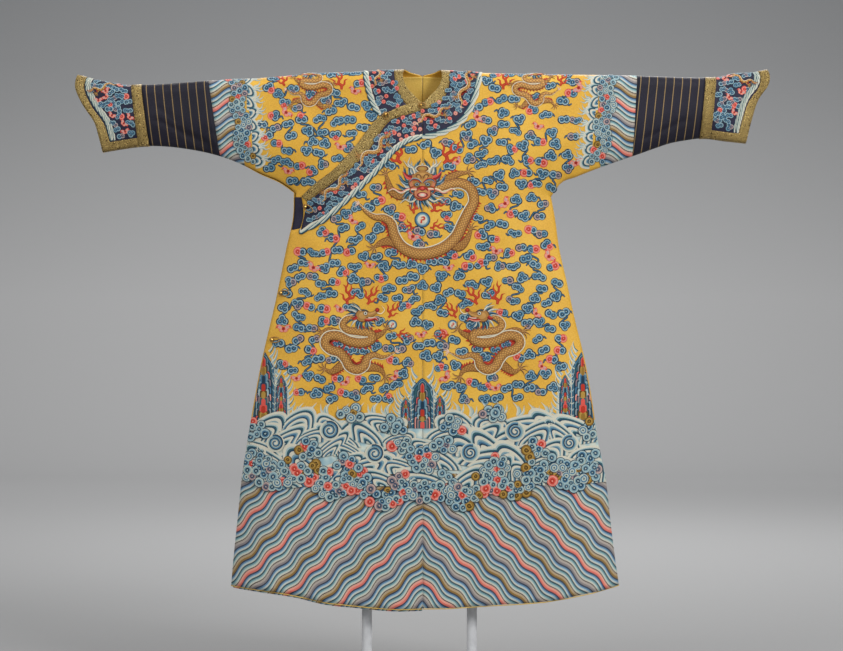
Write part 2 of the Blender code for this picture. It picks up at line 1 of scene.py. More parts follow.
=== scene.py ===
# Yellow dragon robe on its two-post stand: cloth, embroidery, closures, light and camera.
# Metres, +Z up. The robe faces -Y, so the wearer's left side is at +X.
import math
import bpy
import numpy as np
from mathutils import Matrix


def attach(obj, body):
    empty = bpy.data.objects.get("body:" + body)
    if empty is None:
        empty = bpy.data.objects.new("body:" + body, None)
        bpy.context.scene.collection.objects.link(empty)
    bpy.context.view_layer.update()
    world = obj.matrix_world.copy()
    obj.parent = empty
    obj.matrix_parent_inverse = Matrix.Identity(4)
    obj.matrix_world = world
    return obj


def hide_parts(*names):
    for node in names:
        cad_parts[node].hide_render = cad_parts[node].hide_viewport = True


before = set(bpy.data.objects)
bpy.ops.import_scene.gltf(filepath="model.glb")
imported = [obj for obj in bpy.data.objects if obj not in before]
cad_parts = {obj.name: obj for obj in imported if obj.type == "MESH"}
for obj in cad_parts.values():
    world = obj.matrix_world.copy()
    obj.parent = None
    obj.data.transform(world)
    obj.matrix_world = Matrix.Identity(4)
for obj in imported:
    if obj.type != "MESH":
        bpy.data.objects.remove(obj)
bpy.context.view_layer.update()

wall = 0.0018  # silk with its lining
bandWall = 0.0010  # bands, bindings and borders
seamGap = 0.0003  # between pieces at a seam
layerGap = 0.0006  # between a piece and what it lies on
bandLift = layerGap + bandWall
underlapLift = -0.0029
innerFrontLift = -0.0049  # the right front under the outer front
liningLift = -wall - 0.0016
foldRadius = 0.028  # round fold along the shoulders
cuffTipRadius = 0.014  # the same fold at the cuff's edge
seamRadius = 0.008  # round fold along the side seams
seamHalfGap = 0.0006
seamDepth = 0.0085
bodyTaper = 0.16  # width over which the body closes to its side seam
sleeveTaper = 0.09
underarmX = 0.343
neckTopZ = 1.648
neckRowsEndZ = 1.318  # the rows beside the neck are spaced down to here

# Outline of each side. X is the distance out from the centre seam.
outline = {
    "left": {
        "sign": 1,
        "shoulderX": (0.0, 0.047, 0.153, 0.312, 0.471, 0.577, 0.640, 0.736, 0.789, 0.831, 0.873, 0.924),
        "shoulderZ": (1.648, 1.646, 1.640, 1.636, 1.634, 1.632, 1.630, 1.627, 1.628, 1.638, 1.640, 1.648),
        "underX": (0.343, 0.365, 0.410, 0.463, 0.524, 0.577, 0.619, 0.661, 0.704, 0.746, 0.810, 0.865),
        "underZ": (1.309, 1.341, 1.362, 1.383, 1.405, 1.423, 1.438, 1.452, 1.460, 1.465, 1.458, 1.452),
        "sideZ": (0.276, 0.345, 0.451, 0.557, 0.663, 0.769, 0.875, 0.981, 1.087, 1.171, 1.256, 1.309),
        "sideX": (0.524, 0.514, 0.501, 0.489, 0.468, 0.452, 0.433, 0.407, 0.384, 0.365, 0.353, 0.343),
        "hemX": (0.0, 0.100, 0.206, 0.312, 0.365, 0.418, 0.471, 0.524),
        "hemZ": (0.2195, 0.222, 0.230, 0.236, 0.244, 0.254, 0.263, 0.276),
        "joinX": (0.559, 0.571),
        "cuffBandX": (0.738, 0.753),
        "cuffFieldX": (0.767, 0.782),
        "cuffEdgeShare": (0.0, 0.33, 0.62, 0.80, 0.91, 1.0),
        "cuffEdgeX": (0.862, 0.876, 0.896, 0.922, 0.924, 0.919),
    },
    "right": {
        "sign": -1,
        "shoulderX": (0.0, 0.059, 0.165, 0.271, 0.377, 0.477, 0.574, 0.680, 0.743, 0.786, 0.828, 0.870, 0.924),
        "shoulderZ": (1.648, 1.647, 1.643, 1.639, 1.630, 1.623, 1.619, 1.611, 1.608, 1.607, 1.614, 1.622, 1.635),
        "underX": (0.343, 0.377, 0.430, 0.483, 0.552, 0.595, 0.637, 0.680, 0.743, 0.807, 0.853),
        "underZ": (1.320, 1.344, 1.368, 1.396, 1.421, 1.431, 1.438, 1.443, 1.444, 1.436, 1.428),
        "sideZ": (0.275, 0.345, 0.451, 0.557, 0.663, 0.769, 0.875, 0.928, 1.034, 1.087, 1.171, 1.256, 1.320),
        "sideX": (0.510, 0.504, 0.493, 0.482, 0.466, 0.448, 0.428, 0.416, 0.391, 0.380, 0.363, 0.345, 0.343),
        "hemX": (0.0, 0.059, 0.165, 0.255, 0.324, 0.377, 0.430, 0.510),
        "hemZ": (0.2195, 0.218, 0.226, 0.236, 0.251, 0.261, 0.267, 0.275),
        "joinX": (0.539, 0.569),
        "cuffBandX": (0.727, 0.748),
        "cuffFieldX": (0.756, 0.775),
        "cuffEdgeShare": (0.0, 0.23, 0.40, 0.64, 0.82, 1.0),
        "cuffEdgeX": (0.852, 0.862, 0.872, 0.907, 0.924, 0.919),
    },
}
fullness = {"drop": (0.0, 0.2, 0.6, 1.0, 1.43), "gain": (0.0, 0.014, 0.020, 0.029, 0.042)}
troughs = {
    "x": (-0.343, 0.0, 0.124, 0.300, -0.190, 0.430),
    "width": (0.034, 0.040, 0.032, 0.045, 0.045, 0.035),
    "depth": (0.011, 0.006, 0.009, 0.005, 0.005, 0.005),
    "start": (0.66, 0.56, 0.60, 0.70, 0.60, 0.70),
}
# Small creases: from x, z to x, z, half width, depth
creases = (
    (-0.706, 1.512, -0.575, 1.452, 0.007, 0.0030),
    (-0.700, 1.545, -0.655, 1.508, 0.006, 0.0024),
    (-0.640, 1.475, -0.560, 1.435, 0.010, 0.0030),
    (-0.560, 1.480, -0.420, 1.400, 0.012, 0.0022),
    (0.700, 1.512, 0.590, 1.462, 0.007, 0.0026),
    (0.560, 1.500, 0.430, 1.425, 0.012, 0.0022),
    (-0.330, 1.290, -0.200, 1.120, 0.022, 0.0022),
    (0.330, 1.290, 0.210, 1.110, 0.022, 0.0022),
    (-0.300, 1.480, -0.210, 1.400, 0.016, 0.0016),
    (0.420, 1.450, 0.300, 1.360, 0.018, 0.0020),
    (0.200, 0.900, 0.150, 0.640, 0.020, 0.0024),
    (-0.120, 0.880, -0.100, 0.620, 0.022, 0.0020),
)
# Collar from front centre (turn 0) to back centre (turn 8). A is the distance along the cloth
# from the shoulder line, below zero on the front.
collar = {
    "neckX": (0.0004, 0.022, 0.040, 0.050, 0.051, 0.047, 0.041, 0.029, 0.0004),
    "neckA": (-0.1084, -0.086, -0.066, -0.044, -0.022, 0.0, 0.010, 0.0195, 0.0284),
    "trimX": (0.0004, 0.030, 0.052, 0.066, 0.073, 0.074, 0.072, 0.052, 0.0004),
    "trimA": (-0.124, -0.117, -0.100, -0.072, -0.040, 0.0, 0.022, 0.046, 0.057),
    "bandX": (0.0004, 0.050, 0.095, 0.128, 0.149, 0.154, 0.148, 0.105, 0.0004),
    "bandA": (-0.198, -0.186, -0.160, -0.118, -0.056, 0.0, 0.034, 0.080, 0.115),
}
overlapEdge = {
    "topX": (0.0004, 0.0435, 0.087, 0.112, 0.136, 0.169, 0.2025, 0.237, 0.287, 0.3215),
    "topZ": (1.5556, 1.5516, 1.534, 1.521, 1.497, 1.452, 1.4125, 1.378, 1.341, 1.309),
    "trimX": (0.0004, 0.041, 0.0806, 0.097, 0.1097, 0.139, 0.180, 0.222, 0.270, 0.305),
    "trimZ": (1.538, 1.5254, 1.512, 1.498, 1.4814, 1.436, 1.391, 1.357, 1.321, 1.2945),
    "bandX": (0.0004, 0.035, 0.060, 0.0806, 0.100, 0.128, 0.165, 0.205, 0.262, 0.324),
    "bandZ": (1.462, 1.455, 1.440, 1.423, 1.399, 1.367, 1.330, 1.292, 1.243, 1.213),
}
overlapSide = {"z": (1.190, 1.209, 1.240, 1.275, 1.309), "x": (0.3515, 0.334, 0.3195, 0.3165, 0.3215)}
innerHemDrop = 0.007
cuffBorder = 0.025
cuffHemBorder = 0.022
pipingRadius = 0.0013
pipingGap = 0.0006

# How finely the cloth is divided
foldTurns = np.linspace(0, 90, 11)
seamTurns = np.array((90, 72, 54, 36, 18, 0))
middleRows = 34
borderRows = 3
skirtRows = 84
bodyColumns = 46
sleeveColumns = 20
cutawayShare = 0.083
overlapRows = 24


# Soft curve through a table's points, level beyond its ends
def softLine(x, xs, ys):
    xs = np.asarray(xs, float)
    ys = np.asarray(ys, float)
    slopes = np.gradient(ys, xs)
    x = np.clip(x, xs[0], xs[-1])
    k = np.clip(np.searchsorted(xs, x, side="right") - 1, 0, len(xs) - 2)
    gap = xs[k + 1] - xs[k]
    t = (x - xs[k]) / gap
    start = (1 + 2 * t) * (1 - t) ** 2 * ys[k] + t * (1 - t) ** 2 * gap * slopes[k]
    return start + t * t * (3 - 2 * t) * ys[k + 1] + t * t * (t - 1) * gap * slopes[k + 1]


# Soft step from low to high: three times t squared less two times t cubed
def smoothStep(low, high, x):
    t = np.clip((x - low) / (high - low), 0, 1)
    return t * t * (3 - 2 * t)


# Quarter circle: upright at zero, level at one
def quarterRound(s):
    s = np.clip(s, 0, 1)
    return np.sqrt(np.maximum(s * (2 - s), 0))


# Parabola from zero, level at one
def taper(s):
    s = np.clip(s, 0, 1)
    return s * (2 - s)


# The outline's four edges: shoulder line and sleeve's lower edge as heights at x, side seam as the
# distance from the centre at z, and hem as the height at x. Each is the soft curve through its table.
def shoulderHeight(side, x):
    return softLine(x, outline[side]["shoulderX"], outline[side]["shoulderZ"])


def underHeight(side, x):
    return softLine(x, outline[side]["underX"], outline[side]["underZ"])


def sideEdge(side, z):
    return softLine(z, outline[side]["sideZ"], outline[side]["sideX"])


def hemHeight(side, x):
    return softLine(x, outline[side]["hemX"], outline[side]["hemZ"])


# Radius of the shoulder fold at x: the full radius, shrinking to the cuff's own over the cuff
def foldAt(x):
    return foldRadius - (foldRadius - cuffTipRadius) * smoothStep(0.76, 0.93, x)


# Half depth of the hollow robe at x, z: a round fold, then fullness, closing to the seams,
# less the upright troughs and the small creases
def halfDepth(side, x, z):
    drop = np.maximum(shoulderHeight(side, x) - z, 0)
    radius = foldAt(x)
    underarm = outline[side]["underZ"][0]
    below = sideEdge(side, z) - x
    corner = np.hypot(underarmX - x, z - underarm)
    above = np.where(x > underarmX, z - underHeight(side, x), corner)
    fromSeam = np.maximum(np.where(z < underarm, below, above), 0)
    sleeveness = smoothStep(0.28, 0.50, x) * smoothStep(underarm - 0.1, underarm + 0.05, z)
    reach = bodyTaper + (sleeveTaper - bodyTaper) * sleeveness
    gain = softLine(drop, fullness["drop"], fullness["gain"]) * (1 - 0.85 * sleeveness)
    share = seamDepth / (radius + gain)
    seam = share * quarterRound(fromSeam / seamRadius) + (1 - share) * taper(fromSeam / reach)
    depth = (radius * quarterRound(drop / radius) + gain) * seam
    dip = np.zeros_like(depth)
    world = outline[side]["sign"] * x
    for place, width, deep, start in zip(*troughs.values()):
        dip = dip + deep * np.exp(-((world - place) / width) ** 2) * smoothStep(start, 0.25, z)
    small = np.zeros_like(depth)
    for startX, startZ, endX, endZ, width, deep in creases:
        runX = endX - startX
        runZ = endZ - startZ
        t = np.clip(((world - startX) * runX + (z - startZ) * runZ) / (runX ** 2 + runZ ** 2), 0, 1)
        far = np.hypot(world - startX - t * runX, z - startZ - t * runZ)
        small = small + deep * np.exp(-(far / width) ** 2) * smoothStep(0, 0.03, np.minimum(t, 1 - t) + 0.02)
    away = smoothStep(0.030, 0.060, drop)
    return depth - dip * taper(fromSeam / 0.12) - small * taper(fromSeam / 0.05) * away


# How far the right front sinks under the outer front: none at the shoulder fold, the full lift
# further down the front, and less towards the upper sleeve
def rightFrontLift(x, z, a):
    fade = smoothStep(0.27, 0.34, x) * smoothStep(1.34, 1.44, z)
    return innerFrontLift * smoothStep(0.050, 0.106, -a) * (1 - fade)


# Points of the front wall (face -1) or back wall (face 1): y is the half depth times the face,
# and zero on the shoulder line
def surfacePoints(side, x, z, face):
    depth = halfDepth(side, x, z)
    onFold = shoulderHeight(side, x) - z < 1e-6
    depth = np.where(onFold, 0, np.maximum(depth, seamHalfGap))
    return np.stack([outline[side]["sign"] * x, face * depth, z], axis=-1)


# Drop under the shoulder line after going arc along the cloth: round the fold for a quarter turn,
# then straight down. arcOfDrop is its reverse.
def dropOfArc(arc, fold=foldRadius):
    quarter = fold * math.pi / 2
    onFold = fold * (1 - np.cos(np.minimum(arc, quarter) / fold))
    return onFold + np.maximum(arc - quarter, 0)


def arcOfDrop(drop):
    turn = np.arccos(1 - np.minimum(drop, foldRadius) / foldRadius)
    return foldRadius * turn + np.maximum(drop - foldRadius, 0)


# Unit normals of a grid, from the cross product of its two directions. On the shoulder and seam
# lines they have no part in depth.
def gridNormals(points, outward):
    along = np.gradient(points, axis=0)
    across = np.gradient(points, axis=1)
    normals = np.cross(along, across) * outward
    normals[..., 1] *= np.abs(points[..., 1]) > seamHalfGap * 1.01
    return normals / np.maximum(np.linalg.norm(normals, axis=2, keepdims=True), 1e-12)


# Point of the cloth at signed x and distance a over the shoulder line, below zero on the front
def robePoint(x, a):
    s = np.abs(x)
    drop = dropOfArc(np.abs(a), foldAt(s))
    z = {side: shoulderHeight(side, s) - drop for side in ("left", "right")}
    depth = {side: np.maximum(halfDepth(side, s, z[side]), seamHalfGap) for side in z}
    y = np.sign(a) * np.where(x >= 0, depth["left"], depth["right"])
    return np.stack([x, y, np.where(x >= 0, z["left"], z["right"])], axis=-1)


# Height of the shoulder line once the cloth over it is unrolled
def foldTop(x):
    s = np.abs(x)
    top = np.where(x >= 0, shoulderHeight("left", s), shoulderHeight("right", s))
    return top + foldAt(s) * (math.pi / 2 - 1)


# Drawing at x and unrolled height w laid on the cloth and moved out by lift
def onCloth(x, w, face, lift):
    a = face * (foldTop(x) - w)
    step = 0.0008
    point = robePoint(x, a)
    along = robePoint(x + step, a) - robePoint(x - step, a)
    over = robePoint(x, a + step) - robePoint(x, a - step)
    normal = np.cross(along, over)
    normal = normal / np.maximum(np.linalg.norm(normal, axis=-1, keepdims=True), 1e-12)
    s = np.abs(x)
    inner = (x < 0) & (a < 0) & (point[..., 2] > softLine(s, overlapEdge["topX"], overlapEdge["topZ"]))
    ground = np.where(inner, rightFrontLift(s, point[..., 2], a), 0)
    return point + normal * (ground + lift)[..., None]


# Columns from an inner to an outer edge: even steps, then closer ones round the seam fold
def columnPlaces(inner, outer):
    inner = np.asarray(inner, float)[..., None]
    outer = np.asarray(outer, float)[..., None]
    main = inner + (outer - seamRadius - inner) * np.linspace(0, 1, bodyColumns + 1)
    turns = np.radians(seamTurns[1:])
    return np.concatenate([main, outer - seamRadius * (1 - np.cos(turns))], axis=-1)


# Heights of the rows from the shoulder fold to the lower edge; a border adds rows of its own
def upperHeights(side, x, border=None):
    top = shoulderHeight(side, x)
    low = underHeight(side, x)
    fold = foldAt(x)
    folds = (1 - np.cos(np.radians(foldTurns)))[:, None]
    seams = (1 - np.cos(np.radians(seamTurns)))[:, None]
    count = len(foldTurns)
    middle = count + middleRows
    z = np.empty_like(x)
    z[:count] = top[:count] - fold[:count] * folds
    bottom = low + (border or seamRadius)
    share = (np.linspace(0, 1, middleRows + 2)[1:-1] if border is None
             else np.linspace(0, 1, middleRows + 1)[1:])[:, None]
    z[count:middle] = (top - fold)[count:middle] - share * (top - fold - bottom)[count:middle]
    if border is not None:
        extra = np.linspace(0, 1, borderRows + 2)[1:-1][:, None]
        z[middle:middle + borderRows] = (bottom[middle:middle + borderRows]
                                         - extra * (border - seamRadius))
        middle += borderRows
    z[middle:] = low[middle:] + seamRadius * seams
    return z


upperRows = len(foldTurns) + middleRows + len(seamTurns)


# Where each row of one face starts: at the neck opening's curve, or half a seam gap from the centre
def neckEdge(face):
    fold = foldRadius * np.radians(foldTurns)
    span = neckTopZ - neckRowsEndZ - foldRadius - seamRadius
    middle = fold[-1] + np.linspace(0, 1, middleRows + 2)[1:-1] * span
    belowNeck = np.full(len(seamTurns), 0.3)
    arcs = np.concatenate([fold, middle, belowNeck]) * face
    inside = (arcs > collar["neckA"][0]) & (arcs < collar["neckA"][-1])
    opening = softLine(arcs, collar["neckA"], collar["neckX"])
    return np.where(inside, np.maximum(opening, seamGap / 2), seamGap / 2)


# columnPlaces for rows whose two edges also change from column to column
def rowsOfColumns(inner, outer):
    return np.stack([columnPlaces(inner[:, k], outer[:, k])[:, k] for k in range(outer.shape[1])], axis=1)


# Grid of one face of a half: rows from the shoulder to the underarm, then the skirt, whose rows lie
# at even shares of the way to the hem and end at the side seam
def bodyFace(side, face):
    x = columnPlaces(neckEdge(face), np.full(upperRows, underarmX))
    z = upperHeights(side, x)
    hemX = columnPlaces(seamGap / 2, outline[side]["hemX"][-1])
    underarm = outline[side]["underZ"][0]
    shares = np.linspace(0, 1, skirtRows + 1)[1:, None]
    skirtZ = underarm + (hemHeight(side, hemX) - underarm) * shares
    edge = sideEdge(side, skirtZ)
    skirtX = rowsOfColumns(np.full(edge.shape, seamGap / 2), edge)
    return np.concatenate([x, skirtX]), np.concatenate([z, skirtZ])


# Grid of one stretch of sleeve: columns at even shares between its inner edge and its outer edge,
# which are lines from the sleeve's lower edge to the shoulder or, for the cuff, a soft curve
def sleeveFace(side, inner, outer, columns, border=None):
    shares = np.linspace(0, 1, columns + 1)[None, :]
    rows = upperRows + (borderRows if border else 0)
    guess = np.repeat(np.mean(inner) + (np.mean(outer) - np.mean(inner)) * shares, rows, axis=0)
    z = upperHeights(side, guess, border)
    low = underHeight(side, guess)
    height = (z - low) / (shoulderHeight(side, guess) - low)
    start = np.interp(height, np.linspace(0, 1, len(inner)), inner)
    if len(outer) == 2:
        end = np.interp(height, (0, 1), outer)
    else:
        end = softLine(height, outline[side]["cuffEdgeShare"], outer)
    x = start + (end - start) * shares
    return x, upperHeights(side, x, border)


# Front and back grids joined over the shoulder fold, then moved out along the normals
def overShoulder(side, front, back, lifts=(0, 0)):
    points = np.concatenate([surfacePoints(side, *front, -1)[::-1], surfacePoints(side, *back, 1)[1:]])
    normals = gridNormals(points, -outline[side]["sign"])
    lift = np.concatenate([np.broadcast_to(lifts[0], front[0].shape)[::-1],
                           np.broadcast_to(lifts[1], back[0].shape)[1:]])
    return points + normals * lift[..., None]


# Display tone, 0 to 255, as the linear colour that shaders take
def srgb(*tone):
    value = np.array(tone, float) / 255
    linear = np.where(value <= 0.04045, value / 12.92, ((value + 0.055) / 1.055) ** 2.4)
    return (*linear.tolist(), 1.0)


# Shader nodes: adds one, sets its settings, and links or sets its inputs
def add(tree, kind, values=None, **settings):
    node = tree.nodes.new("ShaderNode" + kind)
    for key, value in settings.items():
        setattr(node, key, value)
    for key, value in (values or {}).items():
        if isinstance(value, bpy.types.NodeSocket):
            tree.links.new(value, node.inputs[key])
        else:
            node.inputs[key].default_value = value
    return node


def maths(tree, operation, *values):
    return add(tree, "Math", dict(enumerate(values)), operation=operation).outputs[0]


def mix(tree, factor, first, second, blend="MIX"):
    node = add(tree, "Mix", {0: factor, 6: first, 7: second}, data_type="RGBA", blend_type=blend)
    return node.outputs[2]


def ramp(tree, factor, stops, mode="LINEAR"):
    node = add(tree, "ValToRGB", {0: factor})
    node.color_ramp.interpolation = mode
    points = node.color_ramp.elements
    while len(points) < len(stops):
        points.new(1.0)
    for point, (place, tone) in zip(points, stops):
        point.position = place
        point.color = srgb(*tone)
    return node.outputs[0]


def newMaterial(name, roughness, metallic=0.0, sheen=0.0):
    material = bpy.data.materials.new(name)
    material.use_nodes = True
    tree = material.node_tree
    shader = tree.nodes["Principled BSDF"]
    shader.inputs["Roughness"].default_value = roughness
    shader.inputs["Metallic"].default_value = metallic
    shader.inputs["Sheen Weight"].default_value = sheen
    shader.inputs["Specular IOR Level"].default_value = 0.3
    shader.inputs["Sheen Roughness"].default_value = 0.4
    return material, tree, shader


def bump(tree, shader, height, distance, strength=0.6):
    node = add(tree, "Bump", {"Height": height, "Distance": distance, "Strength": strength})
    tree.links.new(node.outputs[0], shader.inputs["Normal"])


# Woven silk: threads over and under with slubs. Gives the relief and a light-dark value.
def makeWeaveGroup():
    group = bpy.data.node_groups.new("silk weave", "ShaderNodeTree")
    group.interface.new_socket("Vector", in_out="INPUT", socket_type="NodeSocketVector")
    group.interface.new_socket("Threads", in_out="INPUT", socket_type="NodeSocketFloat")
    group.interface.new_socket("Height", in_out="OUTPUT", socket_type="NodeSocketFloat")
    group.interface.new_socket("Shade", in_out="OUTPUT", socket_type="NodeSocketFloat")
    source = group.nodes.new("NodeGroupInput")
    target = group.nodes.new("NodeGroupOutput")
    split = add(group, "SeparateXYZ", {0: source.outputs["Vector"]})
    turns = maths(group, "MULTIPLY", source.outputs["Threads"], 6.2832)
    warp = maths(group, "SINE", maths(group, "MULTIPLY", split.outputs[0], turns))
    weft = maths(group, "SINE", maths(group, "MULTIPLY", split.outputs[1], turns))
    cross = maths(group, "MULTIPLY", warp, weft)
    slub = add(group, "TexNoise", {"Vector": source.outputs["Vector"], "Scale": 260.0, "Detail": 2.0})
    broad = add(group, "TexNoise", {"Vector": source.outputs["Vector"], "Scale": 5.0, "Detail": 4.0})
    height = maths(group, "ADD", maths(group, "MULTIPLY", cross, 0.35), slub.outputs[0])
    shade = maths(group, "ADD", maths(group, "MULTIPLY", slub.outputs[0], 0.4),
                  maths(group, "MULTIPLY", broad.outputs[0], 0.6))
    group.links.new(height, target.inputs["Height"])
    group.links.new(shade, target.inputs["Shade"])
    return group


weaveGroup = makeWeaveGroup()


def clothMap(tree):
    return add(tree, "UVMap", uv_map="cloth").outputs[0]


def weave(tree, threads):
    node = add(tree, "Group", node_tree=weaveGroup)
    tree.links.new(clothMap(tree), node.inputs["Vector"])
    node.inputs["Threads"].default_value = threads
    return node


# Diagonal wave stripes of the hem and sleeve ends. The accent colour changes every third stripe.
stripes = {
    "pitch": 0.0365,
    "hemAngle": 44.0,
    "sleeveAngle": 24.0,
    "sway": 0.0042,
    "swayLength": 0.082,
    "accents": ((0.0, (142, 108, 46)), (0.334, (136, 128, 130)), (0.667, (226, 112, 98))),
    "bands": ((0.0, (206, 206, 190)), (0.075, (176, 196, 192)), (0.150, (104, 152, 160)), (0.235, (28, 66, 82)),
              (0.330, (206, 206, 190)), (0.400, (166, 190, 200)), (0.475, (84, 130, 168)), (0.560, (22, 48, 76)),
              (0.660, (255, 255, 255)), (0.930, (64, 48, 44))),
}


def yellowMaterial():
    material, tree, shader = newMaterial("yellow silk satin", 0.5, sheen=0.06)
    cloth = weave(tree, 900.0)
    place = add(tree, "TexCoord")
    split = add(tree, "SeparateXYZ", {0: place.outputs["Object"]})
    out = maths(tree, "ABSOLUTE", split.outputs[0])
    z = split.outputs[2]
    field = ramp(tree, cloth.outputs["Shade"], (
        (0.30, (205, 150, 48)), (0.5, (228, 176, 62)), (0.72, (240, 196, 86))))
    high = maths(tree, "GREATER_THAN", z, 1.25)
    low = maths(tree, "SUBTRACT", 1.0, high)
    lines = []
    for angle, use in ((stripes["hemAngle"], low), (stripes["sleeveAngle"], high)):
        turn = math.radians(angle)
        across = maths(tree, "ADD", maths(tree, "MULTIPLY", z, math.cos(turn)),
                       maths(tree, "MULTIPLY", out, math.sin(turn)))
        along = maths(tree, "SUBTRACT", maths(tree, "MULTIPLY", out, math.cos(turn)),
                      maths(tree, "MULTIPLY", z, math.sin(turn)))
        phase = maths(tree, "ADD", maths(tree, "MULTIPLY", along, 6.2832 / stripes["swayLength"]),
                      maths(tree, "MULTIPLY", across, 26.0))
        swayed = maths(tree, "ADD", across, maths(tree, "MULTIPLY", maths(tree, "SINE", phase), stripes["sway"]))
        lines.append(maths(tree, "MULTIPLY", swayed, use))
    place01 = maths(tree, "DIVIDE", maths(tree, "ADD", *lines), stripes["pitch"])
    part = maths(tree, "FRACT", place01)
    third = maths(tree, "FRACT", maths(tree, "DIVIDE", maths(tree, "FLOOR", place01), 3.0))
    bands = ramp(tree, part, stripes["bands"], "CONSTANT")
    accent = ramp(tree, maths(tree, "ADD", third, 0.01), stripes["accents"], "CONSTANT")
    isAccent = maths(tree, "MULTIPLY", maths(tree, "GREATER_THAN", part, 0.66),
                     maths(tree, "LESS_THAN", part, 0.93))
    bright = maths(tree, "GREATER_THAN", part, 0.79)
    accent = mix(tree, maths(tree, "MULTIPLY", bright, 0.28), accent, srgb(240, 226, 200))
    striped = mix(tree, isAccent, bands, accent)
    fine = add(tree, "TexNoise", {"Vector": place.outputs["Object"], "Scale": 90.0, "Detail": 3.0})
    worn = mix(tree, maths(tree, "MULTIPLY", fine.outputs[0], 0.12), striped, srgb(190, 180, 160))
    patches = add(tree, "TexNoise", {"Vector": place.outputs["Object"], "Scale": 38.0, "Detail": 1.0})
    foam = ramp(tree, patches.outputs[0], (
        (0.35, (150, 184, 194)), (0.47, (180, 204, 204)), (0.60, (214, 220, 206))))
    isWave = maths(tree, "MULTIPLY", maths(tree, "LESS_THAN", z, 0.715), low)
    isStripe = maths(tree, "MULTIPLY", maths(tree, "LESS_THAN", z, 0.575), low)
    isSleeve = maths(tree, "MULTIPLY", maths(tree, "GREATER_THAN", out, 0.474), high)
    result = mix(tree, isWave, field, foam)
    result = mix(tree, maths(tree, "MAXIMUM", isStripe, isSleeve), result, worn)
    tree.links.new(result, shader.inputs["Base Color"])
    ridge = maths(tree, "SINE", maths(tree, "MULTIPLY", place01, 18.85))
    height = maths(tree, "ADD", maths(tree, "MULTIPLY", cloth.outputs["Height"], 0.5), maths(
        tree, "MULTIPLY", ridge, maths(tree, "MULTIPLY", maths(tree, "MAXIMUM", isStripe, isSleeve), 0.5)))
    bump(tree, shader, height, 0.0006)
    rough = maths(tree, "ADD", 0.42, maths(tree, "MULTIPLY", cloth.outputs["Shade"], 0.18))
    tree.links.new(rough, shader.inputs["Roughness"])
    return material


def plainSilk(name, low, high, threads, roughness, sheen=0.05):
    material, tree, shader = newMaterial(name, roughness, sheen=sheen)
    cloth = weave(tree, threads)
    tree.links.new(ramp(tree, cloth.outputs["Shade"], ((0.34, low), (0.66, high))), shader.inputs["Base Color"])
    bump(tree, shader, cloth.outputs["Height"], 0.0004)
    return material


# Dark sleeve silk with woven gold lines that lean a little
def sleeveMaterial():
    material, tree, shader = newMaterial("dark ribbed silk", 0.55, sheen=0.04)
    cloth = weave(tree, 1100.0)
    place = add(tree, "TexCoord")
    split = add(tree, "SeparateXYZ", {0: place.outputs["Object"]})
    out = maths(tree, "ABSOLUTE", split.outputs[0])
    drop = maths(tree, "SUBTRACT", 1.63, split.outputs[2])
    lean = maths(tree, "SUBTRACT", out, maths(tree, "MULTIPLY", drop, -0.105))
    part = maths(tree, "FRACT", maths(tree, "DIVIDE", maths(tree, "SUBTRACT", lean, 0.5715), 0.0222))
    line = maths(tree, "MULTIPLY", maths(tree, "GREATER_THAN", part, 0.42), maths(tree, "LESS_THAN", part, 0.52))
    ground = ramp(tree, cloth.outputs["Shade"], ((0.34, (14, 13, 26)), (0.66, (29, 26, 44))))
    gold = ramp(tree, cloth.outputs["Shade"], ((0.34, (122, 100, 62)), (0.66, (158, 132, 88))))
    tree.links.new(mix(tree, line, ground, gold), shader.inputs["Base Color"])
    height = maths(tree, "ADD", cloth.outputs["Height"], maths(tree, "MULTIPLY", line, 0.8))
    bump(tree, shader, height, 0.0004)
    return material


# Gold brocade: small rounds and scrolls of bright thread on a darker ground
def brocadeMaterial():
    material, tree, shader = newMaterial("gold brocade", 0.45, 0.3, sheen=0.05)
    cloth = weave(tree, 1000.0)
    medallions = add(tree, "TexVoronoi", {"Vector": clothMap(tree), "Scale": 150.0}, feature="F1")
    swirl = maths(tree, "SINE", maths(tree, "MULTIPLY", medallions.outputs[0], 26.0))
    shade = maths(tree, "ADD", maths(tree, "MULTIPLY", swirl, 0.34), cloth.outputs["Shade"])
    golds = ((0.24, (66, 48, 20)), (0.44, (116, 88, 38)), (0.60, (166, 134, 66)), (0.78, (222, 194, 122)))
    tree.links.new(ramp(tree, shade, golds), shader.inputs["Base Color"])
    bump(tree, shader, maths(tree, "ADD", swirl, cloth.outputs["Height"]), 0.0006)
    return material


